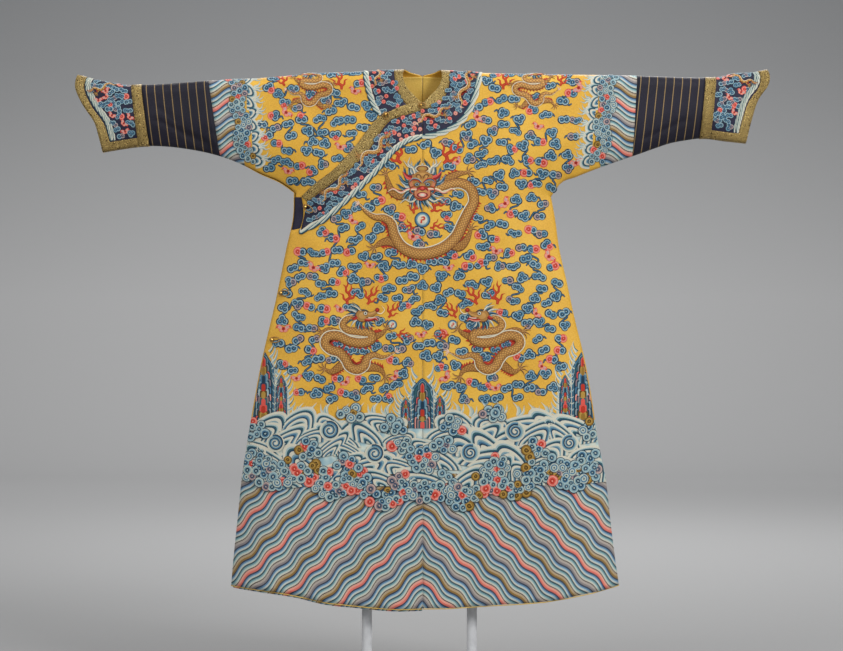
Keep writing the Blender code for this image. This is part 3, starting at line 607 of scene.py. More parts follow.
# Satin stitch: the thread's own colour with fine lines across each shape
def stitchMaterial(name, roughness, metallic=0.0, scales=False):
    material, tree, shader = newMaterial(name, roughness, metallic, sheen=0.05)
    thread = add(tree, "Attribute", attribute_name="thread")
    uv = add(tree, "UVMap", uv_map="cloth")
    split = add(tree, "SeparateXYZ", {0: uv.outputs[0]})
    lines = maths(tree, "SINE", maths(tree, "MULTIPLY", split.outputs[0], 5200.0))
    grain = add(tree, "TexNoise", {"Vector": uv.outputs[0], "Scale": 420.0, "Detail": 2.0})
    shade = maths(tree, "ADD", maths(tree, "MULTIPLY", lines, 0.05), maths(
        tree, "ADD", 0.80, maths(tree, "MULTIPLY", grain.outputs[0], 0.34)))
    tone = mix(tree, 1.0, thread.outputs["Color"], shade, "MULTIPLY")
    height = lines
    if scales:
        first = maths(tree, "ADD", split.outputs[0], split.outputs[1])
        second = maths(tree, "SUBTRACT", split.outputs[0], split.outputs[1])
        waves = [maths(tree, "ABSOLUTE", maths(tree, "SINE", maths(tree, "MULTIPLY", v, 3.1416 / 0.0085)))
                 for v in (first, second)]
        lattice = maths(tree, "MINIMUM", *waves)
        dark = maths(tree, "LESS_THAN", lattice, 0.40)
        tone = mix(tree, maths(tree, "MULTIPLY", dark, 0.70), tone, srgb(112, 66, 32))
        height = maths(tree, "ADD", maths(tree, "MULTIPLY", lines, 0.2), lattice)
    tree.links.new(tone, shader.inputs["Base Color"])
    bump(tree, shader, height, 0.0004)
    return material


def paintMaterial():
    material, tree, shader = newMaterial("satin white paint", 0.45)
    place = add(tree, "TexCoord")
    grain = add(tree, "TexNoise", {"Vector": place.outputs["Object"], "Scale": 60.0, "Detail": 4.0})
    tree.links.new(ramp(tree, grain.outputs[0], ((0.3, (196, 197, 199)), (0.7, (214, 215, 216)))),
                   shader.inputs["Base Color"])
    bump(tree, shader, grain.outputs[0], 0.0002, 0.3)
    return material


def giltMaterial():
    material, tree, shader = newMaterial("gilt brass", 0.3, 1.0)
    place = add(tree, "TexCoord")
    grain = add(tree, "TexNoise", {"Vector": place.outputs["Object"], "Scale": 900.0, "Detail": 3.0})
    tree.links.new(ramp(tree, grain.outputs[0], ((0.3, (168, 124, 58)), (0.7, (226, 184, 104)))),
                   shader.inputs["Base Color"])
    bump(tree, shader, grain.outputs[0], 0.0003)
    return material


def cordMaterial():
    material, tree, shader = newMaterial("twisted silk cord", 0.6, sheen=0.2)
    place = add(tree, "TexCoord")
    twist = add(tree, "TexWave", {"Vector": place.outputs["Object"], "Scale": 260.0, "Distortion": 0.6},
                bands_direction="DIAGONAL")
    tree.links.new(ramp(tree, twist.outputs[1], ((0.1, (128, 86, 40)), (0.8, (200, 156, 84)))),
                   shader.inputs["Base Color"])
    bump(tree, shader, twist.outputs[1], 0.0004)
    return material


materials = {
    "yellow": yellowMaterial(),
    "dark": sleeveMaterial(),
    "navy": plainSilk("navy silk satin", (26, 24, 44), (44, 42, 68), 1100.0, 0.5),
    "lining": plainSilk("yellow silk lining", (220, 180, 76), (240, 206, 112), 800.0, 0.55),
    "piping": plainSilk("yellow piping silk", (196, 156, 66), (222, 186, 96), 900.0, 0.55),
    "brocade": brocadeMaterial(),
    "stitch": stitchMaterial("satin stitch silk", 0.55),
    "scales": stitchMaterial("couched gold thread", 0.42, 0.15, True),
    "paint": paintMaterial(),
    "gilt": giltMaterial(),
    "cord": cordMaterial(),
}
print("materials ready")


def meshObject(name, points, cells, uv, material):
    mesh = bpy.data.meshes.new(name)
    mesh.from_pydata(points.tolist(), [], cells.tolist())
    layer = mesh.uv_layers.new(name="cloth")
    layer.data.foreach_set("uv", uv[cells].astype(np.float32).ravel())
    mesh.shade_smooth()
    mesh.materials.append(materials[material])
    item = bpy.data.objects.new(name, mesh)
    bpy.context.scene.collection.objects.link(item)
    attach(item, "root")
    return item


# Sheet of cloth over a grid of points, thickened inward, with its flat cut declared
def clothSheet(name, node, points, uv, material, thick, outward, keep=None):
    rows, columns = points.shape[:2]
    if keep is None:
        keep = np.ones((rows - 1, columns - 1), bool)
    row, column = np.nonzero(keep)
    first = row * columns + column
    cells = np.stack([first, first + columns, first + columns + 1, first + 1], axis=1)
    if outward < 0:
        cells = cells[:, ::-1]
    used, packed = np.unique(cells, return_inverse=True)
    packed = packed.reshape(-1, 4)
    flatPoints = points.reshape(-1, 3)[used]
    item = meshObject(name, flatPoints, packed, uv.reshape(-1, 2)[used], material)
    solid = item.modifiers.new("Cloth thickness", "SOLIDIFY")
    solid.thickness = thick
    solid.offset = -1
    solid.use_even_offset = True
    corners = flatPoints[packed]
    crossed = np.cross(corners[:, 2] - corners[:, 0], corners[:, 3] - corners[:, 1])
    area = float(np.linalg.norm(crossed, axis=1).sum() / 2)
    down = np.linalg.norm(np.diff(points, axis=0), axis=2)
    across = np.linalg.norm(np.diff(points, axis=1), axis=2)
    downKeep = np.pad(keep, ((0, 0), (0, 1)), mode="edge")
    acrossKeep = np.pad(keep, ((0, 1), (0, 0)), mode="edge")
    length = float((down * downKeep).sum(axis=0).max())
    width = float((across * acrossKeep).sum(axis=1).max())
    if width * length < area:
        length = area / width
    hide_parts(node)
    cuts[name] = (round(width, 3), round(length, 3), round(area, 4))
    return item


cuts = {}


# Flat map of a grid: x across, and the drop from the shoulder line along, below zero on the front
def gridUv(side, x, z, faceRows):
    arc = np.abs(shoulderHeight(side, x) - z) * faceRows
    return np.stack([outline[side]["sign"] * x, arc], axis=-1)


def tubeUv(side, front, back):
    return np.concatenate([gridUv(side, *front, -1)[::-1], gridUv(side, *back, 1)[1:]])


# Half robe in one length from the front hem over the shoulder to the back hem, with its sleeve stub
def makeHalf(side):
    grids = []
    for face in (-1, 1):
        x, z = bodyFace(side, face)
        if side == "right" and face < 0:
            z[upperRows:] -= innerHemDrop * smoothStep(0.5, 0.3, z[upperRows:])
        join = np.array(outline[side]["joinX"]) - seamGap / 2
        sleeveX, sleeveZ = sleeveFace(side, (underarmX, underarmX), join, sleeveColumns)
        blank = np.full((skirtRows, sleeveColumns), underarmX)
        sleeveX = np.concatenate([sleeveX[:, 1:], blank])
        sleeveZ = np.concatenate([sleeveZ[:, 1:], np.full(blank.shape, 1.0)])
        grids.append((np.concatenate([x, sleeveX], axis=1), np.concatenate([z, sleeveZ], axis=1)))
    body = bodyColumns + len(seamTurns) - 1
    keep = np.ones((2 * (upperRows + skirtRows) - 2, body + sleeveColumns), bool)
    keep[:skirtRows, body:] = False
    keep[-skirtRows:, body:] = False
    points = overShoulder(side, grids[0], grids[1])
    if side == "right":
        x, z = grids[0]
        arc = arcOfDrop(np.maximum(shoulderHeight(side, x) - z, 0))
        lift = rightFrontLift(x, z, -arc)
        bodyPart = overShoulder(side, *[(x[:, :body + 1], z[:, :body + 1]) for x, z in grids],
                                (lift[:, :body + 1], 0))
        top = upperRows
        sleevePart = overShoulder(side, *[(x[:top, body:], z[:top, body:]) for x, z in grids],
                                  (lift[:top, body:], 0))
        points[:, :body + 1] = bodyPart
        points[skirtRows:-skirtRows, body + 1:] = sleevePart[:, 1:]
    clothSheet(side + "_robe_half", side + "_half", points, tubeUv(side, *grids), "yellow", wall,
               -outline[side]["sign"], keep)


# Outer front: the right front's skirt, with rows in even shares up to the overlap's top edge
def makeOverlap():
    side = "right"
    x, z = bodyFace(side, -1)
    first = upperRows + int(round(cutawayShare * skirtRows))
    x = x[first:]
    z = z[first:]
    shares = np.linspace(1, 0, overlapRows + 1)[:-1, None]
    topX = columnPlaces(overlapEdge["topX"][0], overlapEdge["topX"][-1] + seamRadius)
    topZ = softLine(topX, overlapEdge["topX"], overlapEdge["topZ"])
    upperZ = z[0] + (topZ - z[0]) * shares
    edge = softLine(upperZ, overlapSide["z"], overlapSide["x"]) + seamRadius
    upperX = rowsOfColumns(np.full(edge.shape, seamGap / 2), edge)
    allX = np.concatenate([upperX, x])
    allZ = np.concatenate([upperZ, z])
    points = surfacePoints(side, allX, allZ, -1)
    keep = np.ones((points.shape[0] - 1, points.shape[1] - 1), bool)
    keep[:overlapRows, bodyColumns:] = False
    clothSheet("outer_front", "overlap_front", points, gridUv(side, allX, allZ, -1), "yellow",
               wall, outline[side]["sign"], keep)


# Strip along the closing edge: even shares between two of its curves, moved out to lie on the front
def makeFrontStrip(name, node, inner, outer, cells, material, trimmed):
    side = "right"
    knots = np.arange(len(overlapEdge["topX"]))
    t = np.linspace(0, knots[-1], 91)
    share = np.linspace(trimmed[0], 1 - trimmed[1], cells + 1)[:, None]
    x = softLine(t, knots, overlapEdge[inner + "X"]) * (1 - share)
    x = x + softLine(t, knots, overlapEdge[outer + "X"]) * share
    z = softLine(t, knots, overlapEdge[inner + "Z"]) * (1 - share)
    z = z + softLine(t, knots, overlapEdge[outer + "Z"]) * share
    points = surfacePoints(side, x, z, -1)
    outward = outline[side]["sign"]
    points = points + gridNormals(points, outward) * bandLift
    uv = np.stack([-x, z], axis=-1)
    clothSheet(name, node, points, uv, material, bandWall, outward, None)


# Half a ring round the neck, made the same way between two of the collar's curves
def makeCollarRing(name, node, side, inner, outer, cells, material, trimmed):
    turns = np.linspace(0, 8, 97)
    knots = np.arange(9)
    share = np.linspace(trimmed[0], 1 - trimmed[1], cells + 1)[:, None]
    x = softLine(turns, knots, collar[inner + "X"]) * (1 - share)
    x = x + softLine(turns, knots, collar[outer + "X"]) * share
    arc = softLine(turns, knots, collar[inner + "A"]) * (1 - share)
    arc = arc + softLine(turns, knots, collar[outer + "A"]) * share
    x = np.maximum(x, 0.0004)
    z = shoulderHeight(side, x) - dropOfArc(np.abs(arc))
    depth = halfDepth(side, x, z) * np.sign(arc)
    points = np.stack([outline[side]["sign"] * x, depth, z], axis=-1)
    outward = outline[side]["sign"]
    lift = np.full(x.shape, bandLift)
    if side == "right":
        lift = lift + rightFrontLift(x, z, np.minimum(arc, 0))
    normals = gridNormals(points, outward)
    seamColumns = [0, -1]
    normals[:, seamColumns, 0] = 0
    normals[:, seamColumns] /= np.linalg.norm(normals[:, seamColumns], axis=2, keepdims=True)
    points = points + normals * lift[..., None]
    uv = np.stack([outline[side]["sign"] * x, arc], axis=-1)
    clothSheet(name, node, points, uv, material, bandWall, outward, None)


# Columns of a cuff in even shares: inner band, field, and the border of fixed width
def cuffGrid(side):
    shape = outline[side]
    band = np.array(shape["cuffBandX"])
    field = np.array(shape["cuffFieldX"])
    edge = np.array(shape["cuffEdgeX"])
    inner = sleeveFace(side, band + seamGap / 2, edge, 1, cuffHemBorder)[0][:, :1]
    body = sleeveFace(side, field, edge, 1, cuffHemBorder)[0]
    border = body[:, -1:] - cuffBorder
    shares = np.linspace(0, 1, 15)
    x = np.concatenate([inner, inner + (body[:, :1] - inner) * 0.5,
                        body[:, :1] + (border - body[:, :1]) * shares,
                        border + cuffBorder * np.linspace(0, 1, 4)[1:]], axis=1)
    return x, upperHeights(side, x, cuffHemBorder)


def makeSleeve(side):
    sign = outline[side]["sign"]
    join = np.array(outline[side]["joinX"]) + seamGap / 2
    band = np.array(outline[side]["cuffBandX"]) - seamGap / 2
    grid = sleeveFace(side, join, band, 18)
    clothSheet(side + "_dark_sleeve", side + "_sleeve", overShoulder(side, grid, grid), tubeUv(side, grid, grid),
               "dark", wall, -sign, None)
    x, z = cuffGrid(side)
    points = overShoulder(side, (x, z), (x, z))
    uv = tubeUv(side, (x, z), (x, z))
    clothSheet(side + "_hoof_cuff", side + "_cuff", points, uv, "navy", wall, -sign)
    narrow = x[:, :3] - (0, 0, seamGap)
    grid = (narrow, z[:, :3])
    clothSheet(side + "_inner_brocade", side + "_cuff_band",
               overShoulder(side, grid, grid, (bandLift, bandLift)),
               tubeUv(side, grid, grid), "brocade", bandWall, -sign, None)
    grid = (x[:, 2:], z[:, 2:])
    points = overShoulder(side, grid, grid, (bandLift, bandLift))
    keep = np.ones((points.shape[0] - 1, points.shape[1] - 1), bool)
    inside = borderRows + len(seamTurns)
    keep[inside:-inside, :14] = False
    clothSheet(side + "_outer_brocade", side + "_cuff_border", points, tubeUv(side, grid, grid), "brocade",
               bandWall, -sign, keep)


# Dark cloth that shows at the underarm: a patch of the right front's grid, moved in
def makeUnderlap():
    side = "right"
    x, z = bodyFace(side, -1)
    rows = slice(upperRows, upperRows + int(round(cutawayShare * skirtRows)) + 3)
    x = x[rows, bodyColumns - 4:]
    z = z[rows, bodyColumns - 4:]
    points = surfacePoints(side, x, z, -1)
    outward = outline[side]["sign"]
    points = points + gridNormals(points, outward) * underlapLift
    clothSheet("dark_underlap", "underlap", points, gridUv(side, x, z, -1), "navy",
               bandWall, outward, None)


# Lining inside the back of the neck: a patch of the back wall, moved in
def makeLining(side):
    x = np.linspace(0.0004, 0.066, 17)[None, :]
    arc = np.linspace(0.030, 0.150, 25)[:, None]
    x, arc = np.broadcast_arrays(x, arc)
    z = shoulderHeight(side, x) - dropOfArc(arc)
    points = surfacePoints(side, x, z, 1)
    outward = -outline[side]["sign"]
    points = points + gridNormals(points, outward) * liningLift
    clothSheet(side + "_back_lining", side + "_neck_lining", points, gridUv(side, x, z, 1),
               "lining", bandWall, outward, None)


for side in ("left", "right"):
    makeHalf(side)
    makeSleeve(side)
    makeCollarRing(side + "_neck_binding", side + "_neck_trim", side,
                   "neck", "trim", 6, "brocade", (0, 0.02))
    makeCollarRing(side + "_collar_silk", side + "_collar_band", side,
                   "trim", "band", 12, "navy", (0.008, 0))
    makeLining(side)
makeOverlap()
makeFrontStrip("front_binding", "overlap_trim", "top", "trim", 4, "brocade", (0, 0.02))
makeFrontStrip("front_band_silk", "overlap_band", "trim", "band", 12, "navy", (0.01, 0))
makeUnderlap()
print("cloth ready", cuts)

# Thread colours
tones = {
    "outline": (22, 56, 78), "blue": (74, 124, 156), "pale": (172, 198, 200), "deep": (32, 70, 98),
    "white": (226, 222, 202), "foam": (194, 206, 194), "teal": (50, 98, 108), "mist": (136, 172, 182),
    "coral": (232, 92, 80), "pink": (242, 160, 142), "red": (196, 54, 32), "crimson": (140, 30, 40),
    "taupe": (148, 126, 128), "rose": (200, 176, 168), "gold": (156, 118, 44), "ochre": (96, 70, 22),
    "tan": (184, 132, 66), "brown": (112, 68, 36), "cream": (240, 226, 192), "orange": (210, 80, 36),
    "black": (24, 26, 38), "grey": (156, 166, 164), "navy": (28, 28, 52), "sand": (210, 158, 86),
    "amber": (190, 150, 70), "salmon": (214, 132, 92),
}
tone = {key: np.array(value) / 255 for key, value in tones.items()}


# A sketch gathers grids drawn in x and unrolled height, with a lift and a thread colour for each
def newSketch():
    return {"x": [], "w": [], "lift": [], "u": [], "v": [], "cells": [], "tones": [], "count": 0}


def addGrid(sketch, x, w, lift, colours, u=None, v=None):
    shape = np.broadcast_shapes(np.shape(x), np.shape(w))
    rows, columns = shape[-2:]
    copies = int(np.prod(shape[:-2]))
    index = sketch["count"] + np.arange(copies * rows * columns).reshape(copies, rows, columns)
    cells = np.stack([index[:, :-1, :-1], index[:, 1:, :-1], index[:, 1:, 1:], index[:, :-1, 1:]], axis=-1)
    sketch["cells"].append(cells.reshape(-1, 4))
    sketch["count"] += copies * rows * columns
    for key, value in (("x", x), ("w", w), ("lift", lift), ("u", x if u is None else u),
                       ("v", w if v is None else v)):
        sketch[key].append(np.broadcast_to(value, shape).ravel())
    colours = np.broadcast_to(colours, (*shape[:-2], rows - 1, columns - 1, 3))
    sketch["tones"].append(colours.reshape(-1, 3))


def curve(line, steps):
    line = np.asarray(line, float)
    knots = np.arange(len(line))
    t = np.linspace(0, knots[-1], steps)
    return softLine(t, knots, line[:, 0]), softLine(t, knots, line[:, 1])


# Ribbon of stitches along a soft line, its colours side by side from right to left
def ribbon(sketch, line, widths, colours, lift, high=0.0005, steps=None, edges=None):
    steps = steps or 5 * len(line)
    x, w = curve(line, steps)
    runX = np.gradient(x)
    runW = np.gradient(w)
    size = np.hypot(runX, runW) + 1e-9
    t = np.linspace(0, 1, steps)
    half = np.interp(t, np.linspace(0, 1, len(widths)), widths)[:, None] / 2
    across = np.linspace(-1, 1, len(colours) + 1) if edges is None else np.asarray(edges, float)
    length = np.cumsum(size)[:, None]
    addGrid(sketch, x[:, None] - (runW / size)[:, None] * half * across,
            w[:, None] + (runX / size)[:, None] * half * across,
            lift + high * (1 - across ** 2) + 0 * half,
            np.array([tone[c] for c in colours])[None], length + 0 * across, half * across)


# Round shapes in rings from the rim to the middle; spiral turns the inner rings into a scroll
def rounds(sketch, x, w, radius, colours, edges, lift, high=0.0006, segments=14, spiral=0.0, turn=0.0,
           stretch=1.0, lean=0.0):
    x, w, radius, turn, lift = (np.broadcast_to(np.asarray(v, float), np.shape(x))[..., None, None]
                                for v in (x, w, radius, turn, lift))
    angle = np.linspace(0, 2 * math.pi, segments + 1)[None, :]
    edges = np.asarray(edges, float)[:, None]
    inner = (edges > 0.01) & (edges < 0.85)
    share = edges + spiral * (angle / (2 * math.pi) - 0.5) * inner
    localX = radius * share * np.cos(angle + turn) * stretch
    localW = radius * share * np.sin(angle + turn)
    colours = np.asarray(colours, float)
    if colours.ndim == 2:
        colours = colours[:, None, :]
    else:
        colours = colours[:, :, None, :]
    addGrid(sketch, x + localX * math.cos(lean) - localW * math.sin(lean),
            w + localX * math.sin(lean) + localW * math.cos(lean),
            lift + high * (1 - edges) + 0 * angle, colours)


def palette(*names):
    return np.array([tone[name] for name in names])


# The drawings end this far inside the robe's side edges
edgeMargin = 0.004


# Lays a sketch on one face of the robe as a raised piece
def stitchPiece(name, sketch, face, material="stitch"):
    x, w, lift, u, v = (np.concatenate(sketch[key]) for key in ("x", "w", "lift", "u", "v"))
    cells = np.concatenate(sketch["cells"])
    colours = np.concatenate(sketch["tones"])
    limit = np.where(x >= 0, sideEdge("left", w), sideEdge("right", w)) - edgeMargin
    x = np.where(w < 1.28, np.clip(x, -limit, limit), x)
    cornerX = x[cells]
    cornerW = w[cells]
    turned = ((cornerX[:, 2] - cornerX[:, 0]) * (cornerW[:, 3] - cornerW[:, 1])
              - (cornerX[:, 3] - cornerX[:, 1]) * (cornerW[:, 2] - cornerW[:, 0])) * -face
    solid = np.abs(turned) > 1e-9
    cells, colours, turned = cells[solid], colours[solid], turned[solid]
    cells = np.where((turned < 0)[:, None], cells[:, ::-1], cells)
    points = onCloth(x, w, face, lift)
    item = meshObject(name, points, cells, np.stack([u, v], axis=-1), material)
    layer = item.data.color_attributes.new(name="thread", type="BYTE_COLOR", domain="CORNER")
    corner = np.ones((len(cells), 4, 4), np.float32)
    corner[:, :, :3] = colours[:, None, :]
    layer.data.foreach_set("color_srgb", corner.ravel())
    return item


# Places a drawing made in millimetres: size, turn in degrees, mirrored or not, at x and w
def placed(line, x, w, size=1.0, turn=0.0, mirror=1):
    line = np.asarray(line, float) * 0.001 * size
    angle = math.radians(turn)
    localX = (line[:, 0] * math.cos(angle) - line[:, 1] * math.sin(angle)) * mirror
    localW = line[:, 0] * math.sin(angle) + line[:, 1] * math.cos(angle)
    return np.stack([x + localX, w + localW], axis=-1)


cloudKinds = (
    ((-6.0, 0.0, 11.6), (6.0, 0.5, 11.2)),
    ((-6.4, -2.8, 10.8), (6.4, -2.8, 11.0), (0.0, 5.8, 10.4)),
    ((-10.0, -1.0, 9.8), (0.0, 2.4, 11.0), (10.0, -1.0, 9.8)),
    ((-6.4, 3.0, 10.6), (6.6, 2.8, 10.8), (0.4, -5.4, 10.4)),
    ((-5.8, 0.0, 11.8), (6.8, 1.8, 10.2)),
    ((-6.2, -1.0, 11.4), (6.2, -1.0, 11.4)),
)
ringEdges = (1.0, 0.78, 0.58, 0.37, 0.12, 0.0)
bankEdges = (1.0, 0.87, 0.64, 0.42, 0.15, 0.0)
blueRings = (
    palette("outline", "pale", "blue", "deep", "pale"),
    palette("outline", "pale", "blue", "outline", "pale"),
    palette("outline", "pale", "blue", "outline", "mist"),
    palette("outline", "mist", "blue", "deep", "pale"),
)
coralRings = palette("coral", "pink", "coral", "red", "pink")
taupeRings = palette("outline", "rose", "taupe", "deep", "rose")
goldRings = palette("ochre", "gold", "amber", "ochre", "gold")
bankRings = (
    palette("deep", "foam", "mist", "outline", "pale"),
    palette("outline", "pale", "mist", "deep", "foam"),
    palette("deep", "foam", "blue", "foam", "outline"),
    palette("outline", "pale", "blue", "outline", "pale"),
)


# Clouds of two to four scrolls, each joined to the next by a curled tail
def drawClouds(sketch, places, chance, size=1.0, lift=0.0003):
    discs = []
    colours = []
    for x, w in places:
        kind = cloudKinds[chance.integers(len(cloudKinds))]
        turn = chance.uniform(-28, 28) + 180 * chance.integers(2)
        grow = size * chance.uniform(0.94, 1.10)
        special = chance.random()
        marked = chance.integers(len(kind))
        centres = placed([lobe[:2] for lobe in kind], x, w, grow, turn)
        for k, lobe in enumerate(kind):
            discs.append((*centres[k], lobe[2] * 0.001 * grow, chance.uniform(0, 6.28)))
            rings = blueRings[chance.integers(len(blueRings))]
            if k == marked and special < 0.22:
                rings = coralRings
            elif k == marked and special < 0.42:
                rings = taupeRings
            colours.append(rings)
    discs = np.array(discs)
    rounds(sketch, discs[:, 0], discs[:, 1], discs[:, 2], np.array(colours), ringEdges, lift, 0.0006, 16, 0.24,
           discs[:, 3])


# Curled tails from each cloud to its nearest neighbour, or free where that is past reach
def linkClouds(sketch, places, chance, reach=0.043):
    places = np.asarray(places)
    for k in range(1, len(places)):
        far = np.hypot(*(places[:k] - places[k]).T)
        near = int(np.argmin(far))
        start, end = places[near], places[k]
        run = end - start
        if far[near] > reach or chance.random() < 0.25:
            run = np.array((0.024 * chance.choice((-1, 1)), chance.uniform(-0.012, 0.004)))
            start = end
            end = start + run
        side = np.array((-run[1], run[0])) * chance.choice((-1, 1)) * 0.34
        line = (start, start + run * 0.32 + side * 0.7, start + run * 0.68 - side * 0.7, end)
        ribbon(sketch, line, (0.0056, 0.0060, 0.0056, 0.0036), ("outline", "blue", "outline"),
               0.0002, 0.0002, 12, (-1, -0.26, 0.26, 1))


# Random places in a box that accept allows, no two nearer than apart and none in a blocked disc
def scatter(accept, box, apart, chance, tries, blocked=()):
    kept = np.empty((0, 2))
    blocked = np.asarray(blocked, float).reshape(-1, 3)
    trial = np.stack([chance.uniform(box[0], box[1], tries), chance.uniform(box[2], box[3], tries)], axis=1)
    for point in trial[accept(trial[:, 0], trial[:, 1])]:
        if len(blocked) and (np.hypot(blocked[:, 0] - point[0], blocked[:, 1] - point[1]) < blocked[:, 2]).any():
            continue
        if len(kept) and (np.hypot(*(kept - point).T) < apart).any():
            continue
        kept = np.vstack([kept, point])
    return kept


# Yellow field that clouds may fill on one face
def inField(face):
    def accept(x, w):
        s = np.abs(x)
        a = foldTop(x) - w
        z = w
        edge = np.where(x >= 0, sideEdge("left", z), sideEdge("right", z)) - 0.026
        under = np.where(x >= 0, underHeight("left", s), underHeight("right", s)) + 0.022
        sleeve = (s > underarmX - 0.03) & (z > 1.30)
        inside = np.where(sleeve, (z > under) & (s < 0.408 + 0.02 * np.sin(60 * z)), s < edge)
        depth = 0.212 if face < 0 else 0.128
        inside &= np.hypot(s / 0.166, a / depth) > 1
        inside &= (z > 0.768) & (a > 0.006)
        if face < 0:
            top = softLine(s, overlapEdge["topX"], overlapEdge["topZ"]) + 0.012
            low = softLine(s, overlapEdge["bandX"], overlapEdge["bandZ"]) - 0.020
            inside &= ~((x < 0) & (z < top) & (z > low))
            inside &= ~((x < 0) & (s > 0.27) & (z < 1.325) & (z > 1.175))
        return inside
    return accept


# Branched flame of five ribbons
def flame(sketch, x, w, size, turn, mirror=1, lift=0.0004):
    parts = (
        (((0, 0), (6, 10), (2, 20), (10, 30), (8, 42), (16, 54)), (3.4, 4.4, 4.0, 3.6, 2.6, 0.4)),
        (((8, 28), (18, 30), (24, 40), (34, 44)), (3.4, 3.2, 2.6, 0.4)),
        (((4, 16), (-6, 22), (-6, 34), (-14, 44)), (3.4, 3.0, 2.4, 0.4)),
        (((24, 38), (22, 48), (28, 58)), (2.6, 2.2, 0.4)),
        (((6, 8), (16, 10), (22, 18), (32, 18)), (3.0, 2.8, 2.2, 0.4)),
    )
    for line, widths in parts:
        ribbon(sketch, placed(line, x, w, size * 1.15, turn, mirror), np.array(widths) * 0.0023 * size,
               ("red", "orange", "red"), lift, 0.0004, 4 * len(line), (-1, -0.3, 0.3, 1))


# Small coral bat: two long rounds and a ribbon tip for each wing, and a round body
def bat(sketch, x, w, size, turn, lift=0.0004):
    lean = math.radians(turn)
    for mirror in (-1, 1):
        for px, py, radius, names in ((10, 4, 6.2, ("coral", "pink", "rose")),
                                      (6, -5, 4.2, ("coral", "pink", "pink"))):
            centre = placed([(px * mirror, py)], x, w, size, turn)[0]
            rounds(sketch, *centre, radius * 0.001 * size, palette(*names), (1, 0.78, 0.4, 0), lift, 0.0003,
                   14, stretch=1.6, lean=lean + 0.45 * mirror)
        tip = placed(np.array(((14, 6), (19, 4), (21, -1))) * (mirror, 1), x, w, size, turn)
        ribbon(sketch, tip, np.array((3.0, 2.6, 0.5)) * 0.001 * size, ("coral", "red"), lift + 0.0001, 0.0003, 8)
    rounds(sketch, x, w, 0.0046 * size, palette("red", "crimson"), (1, 0.5, 0), lift + 0.0004, 0.0004, 12)


# Claws spread at the end of a leg
def claws(sketch, line, size, lift, colours=("brown", "sand")):
    end = line[-1]
    run = line[-1] - line[-2]
    heading = math.degrees(math.atan2(run[1], run[0]))
    for turn in (-78, -38, 0, 38, 78):
        shape = ((0, 0), (6, 1.5), (12, 1.0), (17, -2.0))
        ribbon(sketch, placed(shape, end[0], end[1], size, heading + turn),
               np.array((3.6, 3.4, 2.6, 0.5)) * 0.001 * size, colours, lift, 0.0004, 9)


# Pointed fins along one edge of a line
def fins(sketch, line, offset, length, count, colour, lift, edge=1):
    x, w = curve(line, count)
    runX = np.gradient(x)
    runW = np.gradient(w)
    size = np.hypot(runX, runW) + 1e-9
    normal = np.stack([-runW / size, runX / size], axis=1) * edge
    along = np.stack([runX / size, runW / size], axis=1)
    base = np.stack([x, w], axis=1) + normal * np.broadcast_to(offset, count)[:, None]
    reach = np.broadcast_to(length, count)[:, None]
    start = base - along * reach * 0.5
    tip = base + normal * reach - along * reach * 0.4
    end = base + along * reach * 0.5
    grid = np.stack([np.stack([start, (start + tip) / 2, tip], axis=1),
                     np.stack([end, (end + tip) / 2, tip], axis=1)], axis=1)
    addGrid(sketch, grid[..., 0], grid[..., 1], lift, tone[colour])


# Spikes of hair or spray that fan out from a centre
def spikes(sketch, x, w, angles, start, reach, width, colours, lift, bend=10.0, size=1.0, turn=0.0, mirror=1):
    for k, angle in enumerate(angles):
        length = reach[k % len(reach)]
        a = math.radians(angle)
        b = math.radians(angle + bend)
        line = ((start * math.cos(a), start * math.sin(a)),
                ((start + length * 0.5) * math.cos(a), (start + length * 0.5) * math.sin(a)),
                ((start + length) * math.cos(b), (start + length) * math.sin(b)))
        pair = colours[k % len(colours)]
        ribbon(sketch, placed(line, x, w, size, turn, mirror),
               np.array((width, width * 1.1, 0.3)) * 0.001 * size, pair, lift, 0.0004, 9)


hairColours = (("outline", "mist"), ("deep", "teal"), ("grey", "white"), ("outline", "blue"))
facing = {
    "body": ((34, -8), (64, 4), (100, 10), (128, -6), (136, -38), (121, -68), (106, -98), (89, -132), (58, -160),
             (18, -175), (-22, -175), (-56, -157), (-75, -126), (-82, -98), (-100, -83), (-126, -80), (-149, -66),
             (-168, -46)),
    "widths": (20, 25, 27, 28, 28, 29, 30, 31, 32, 32, 31, 30, 28, 25, 21, 16, 10, 3),
    "legs": (
        (((-30, -14), (-58, -22), (-82, -10), (-91, 14), (-97, 34)), (24, 28, 22, 13, 8)),
        (((44, -4), (68, 20), (94, 34), (120, 38)), (22, 24, 17, 8)),
        (((-60, -152), (-84, -144), (-108, -148), (-128, -160)), (32, 27, 18, 8)),
        (((72, -148), (98, -158), (117, -140), (129, -112)), (32, 27, 18, 8)),
    ),
}
profile = {
    "body": ((-10, -4), (-40, -8), (-52, -24), (-38, -38), (-8, -42), (18, -46), (24, -60), (2, -70), (-34, -66),
             (-64, -52), (-90, -54), (-98, -72), (-84, -88), (-60, -96), (-44, -114), (-34, -132), (-14, -140),
             (4, -130), (12, -110), (30, -102), (54, -108), (86, -94)),
    "widths": (14, 16, 18, 20, 22, 24, 25, 26, 26, 26, 25, 25, 25, 26, 26, 26, 26, 25, 21, 16, 10, 2),
    "legs": (
        (((10, -58), (32, -54), (50, -46), (62, -34)), (20, 19, 13, 7)),
        (((-44, -58), (-70, -42), (-90, -36), (-106, -42)), (20, 18, 12, 7)),
        (((-46, -122), (-64, -136), (-82, -146), (-98, -138)), (26, 22, 14, 7)),
        (((2, -134), (28, -134), (48, -142), (58, -158)), (26, 22, 14, 7)),
    ),
}


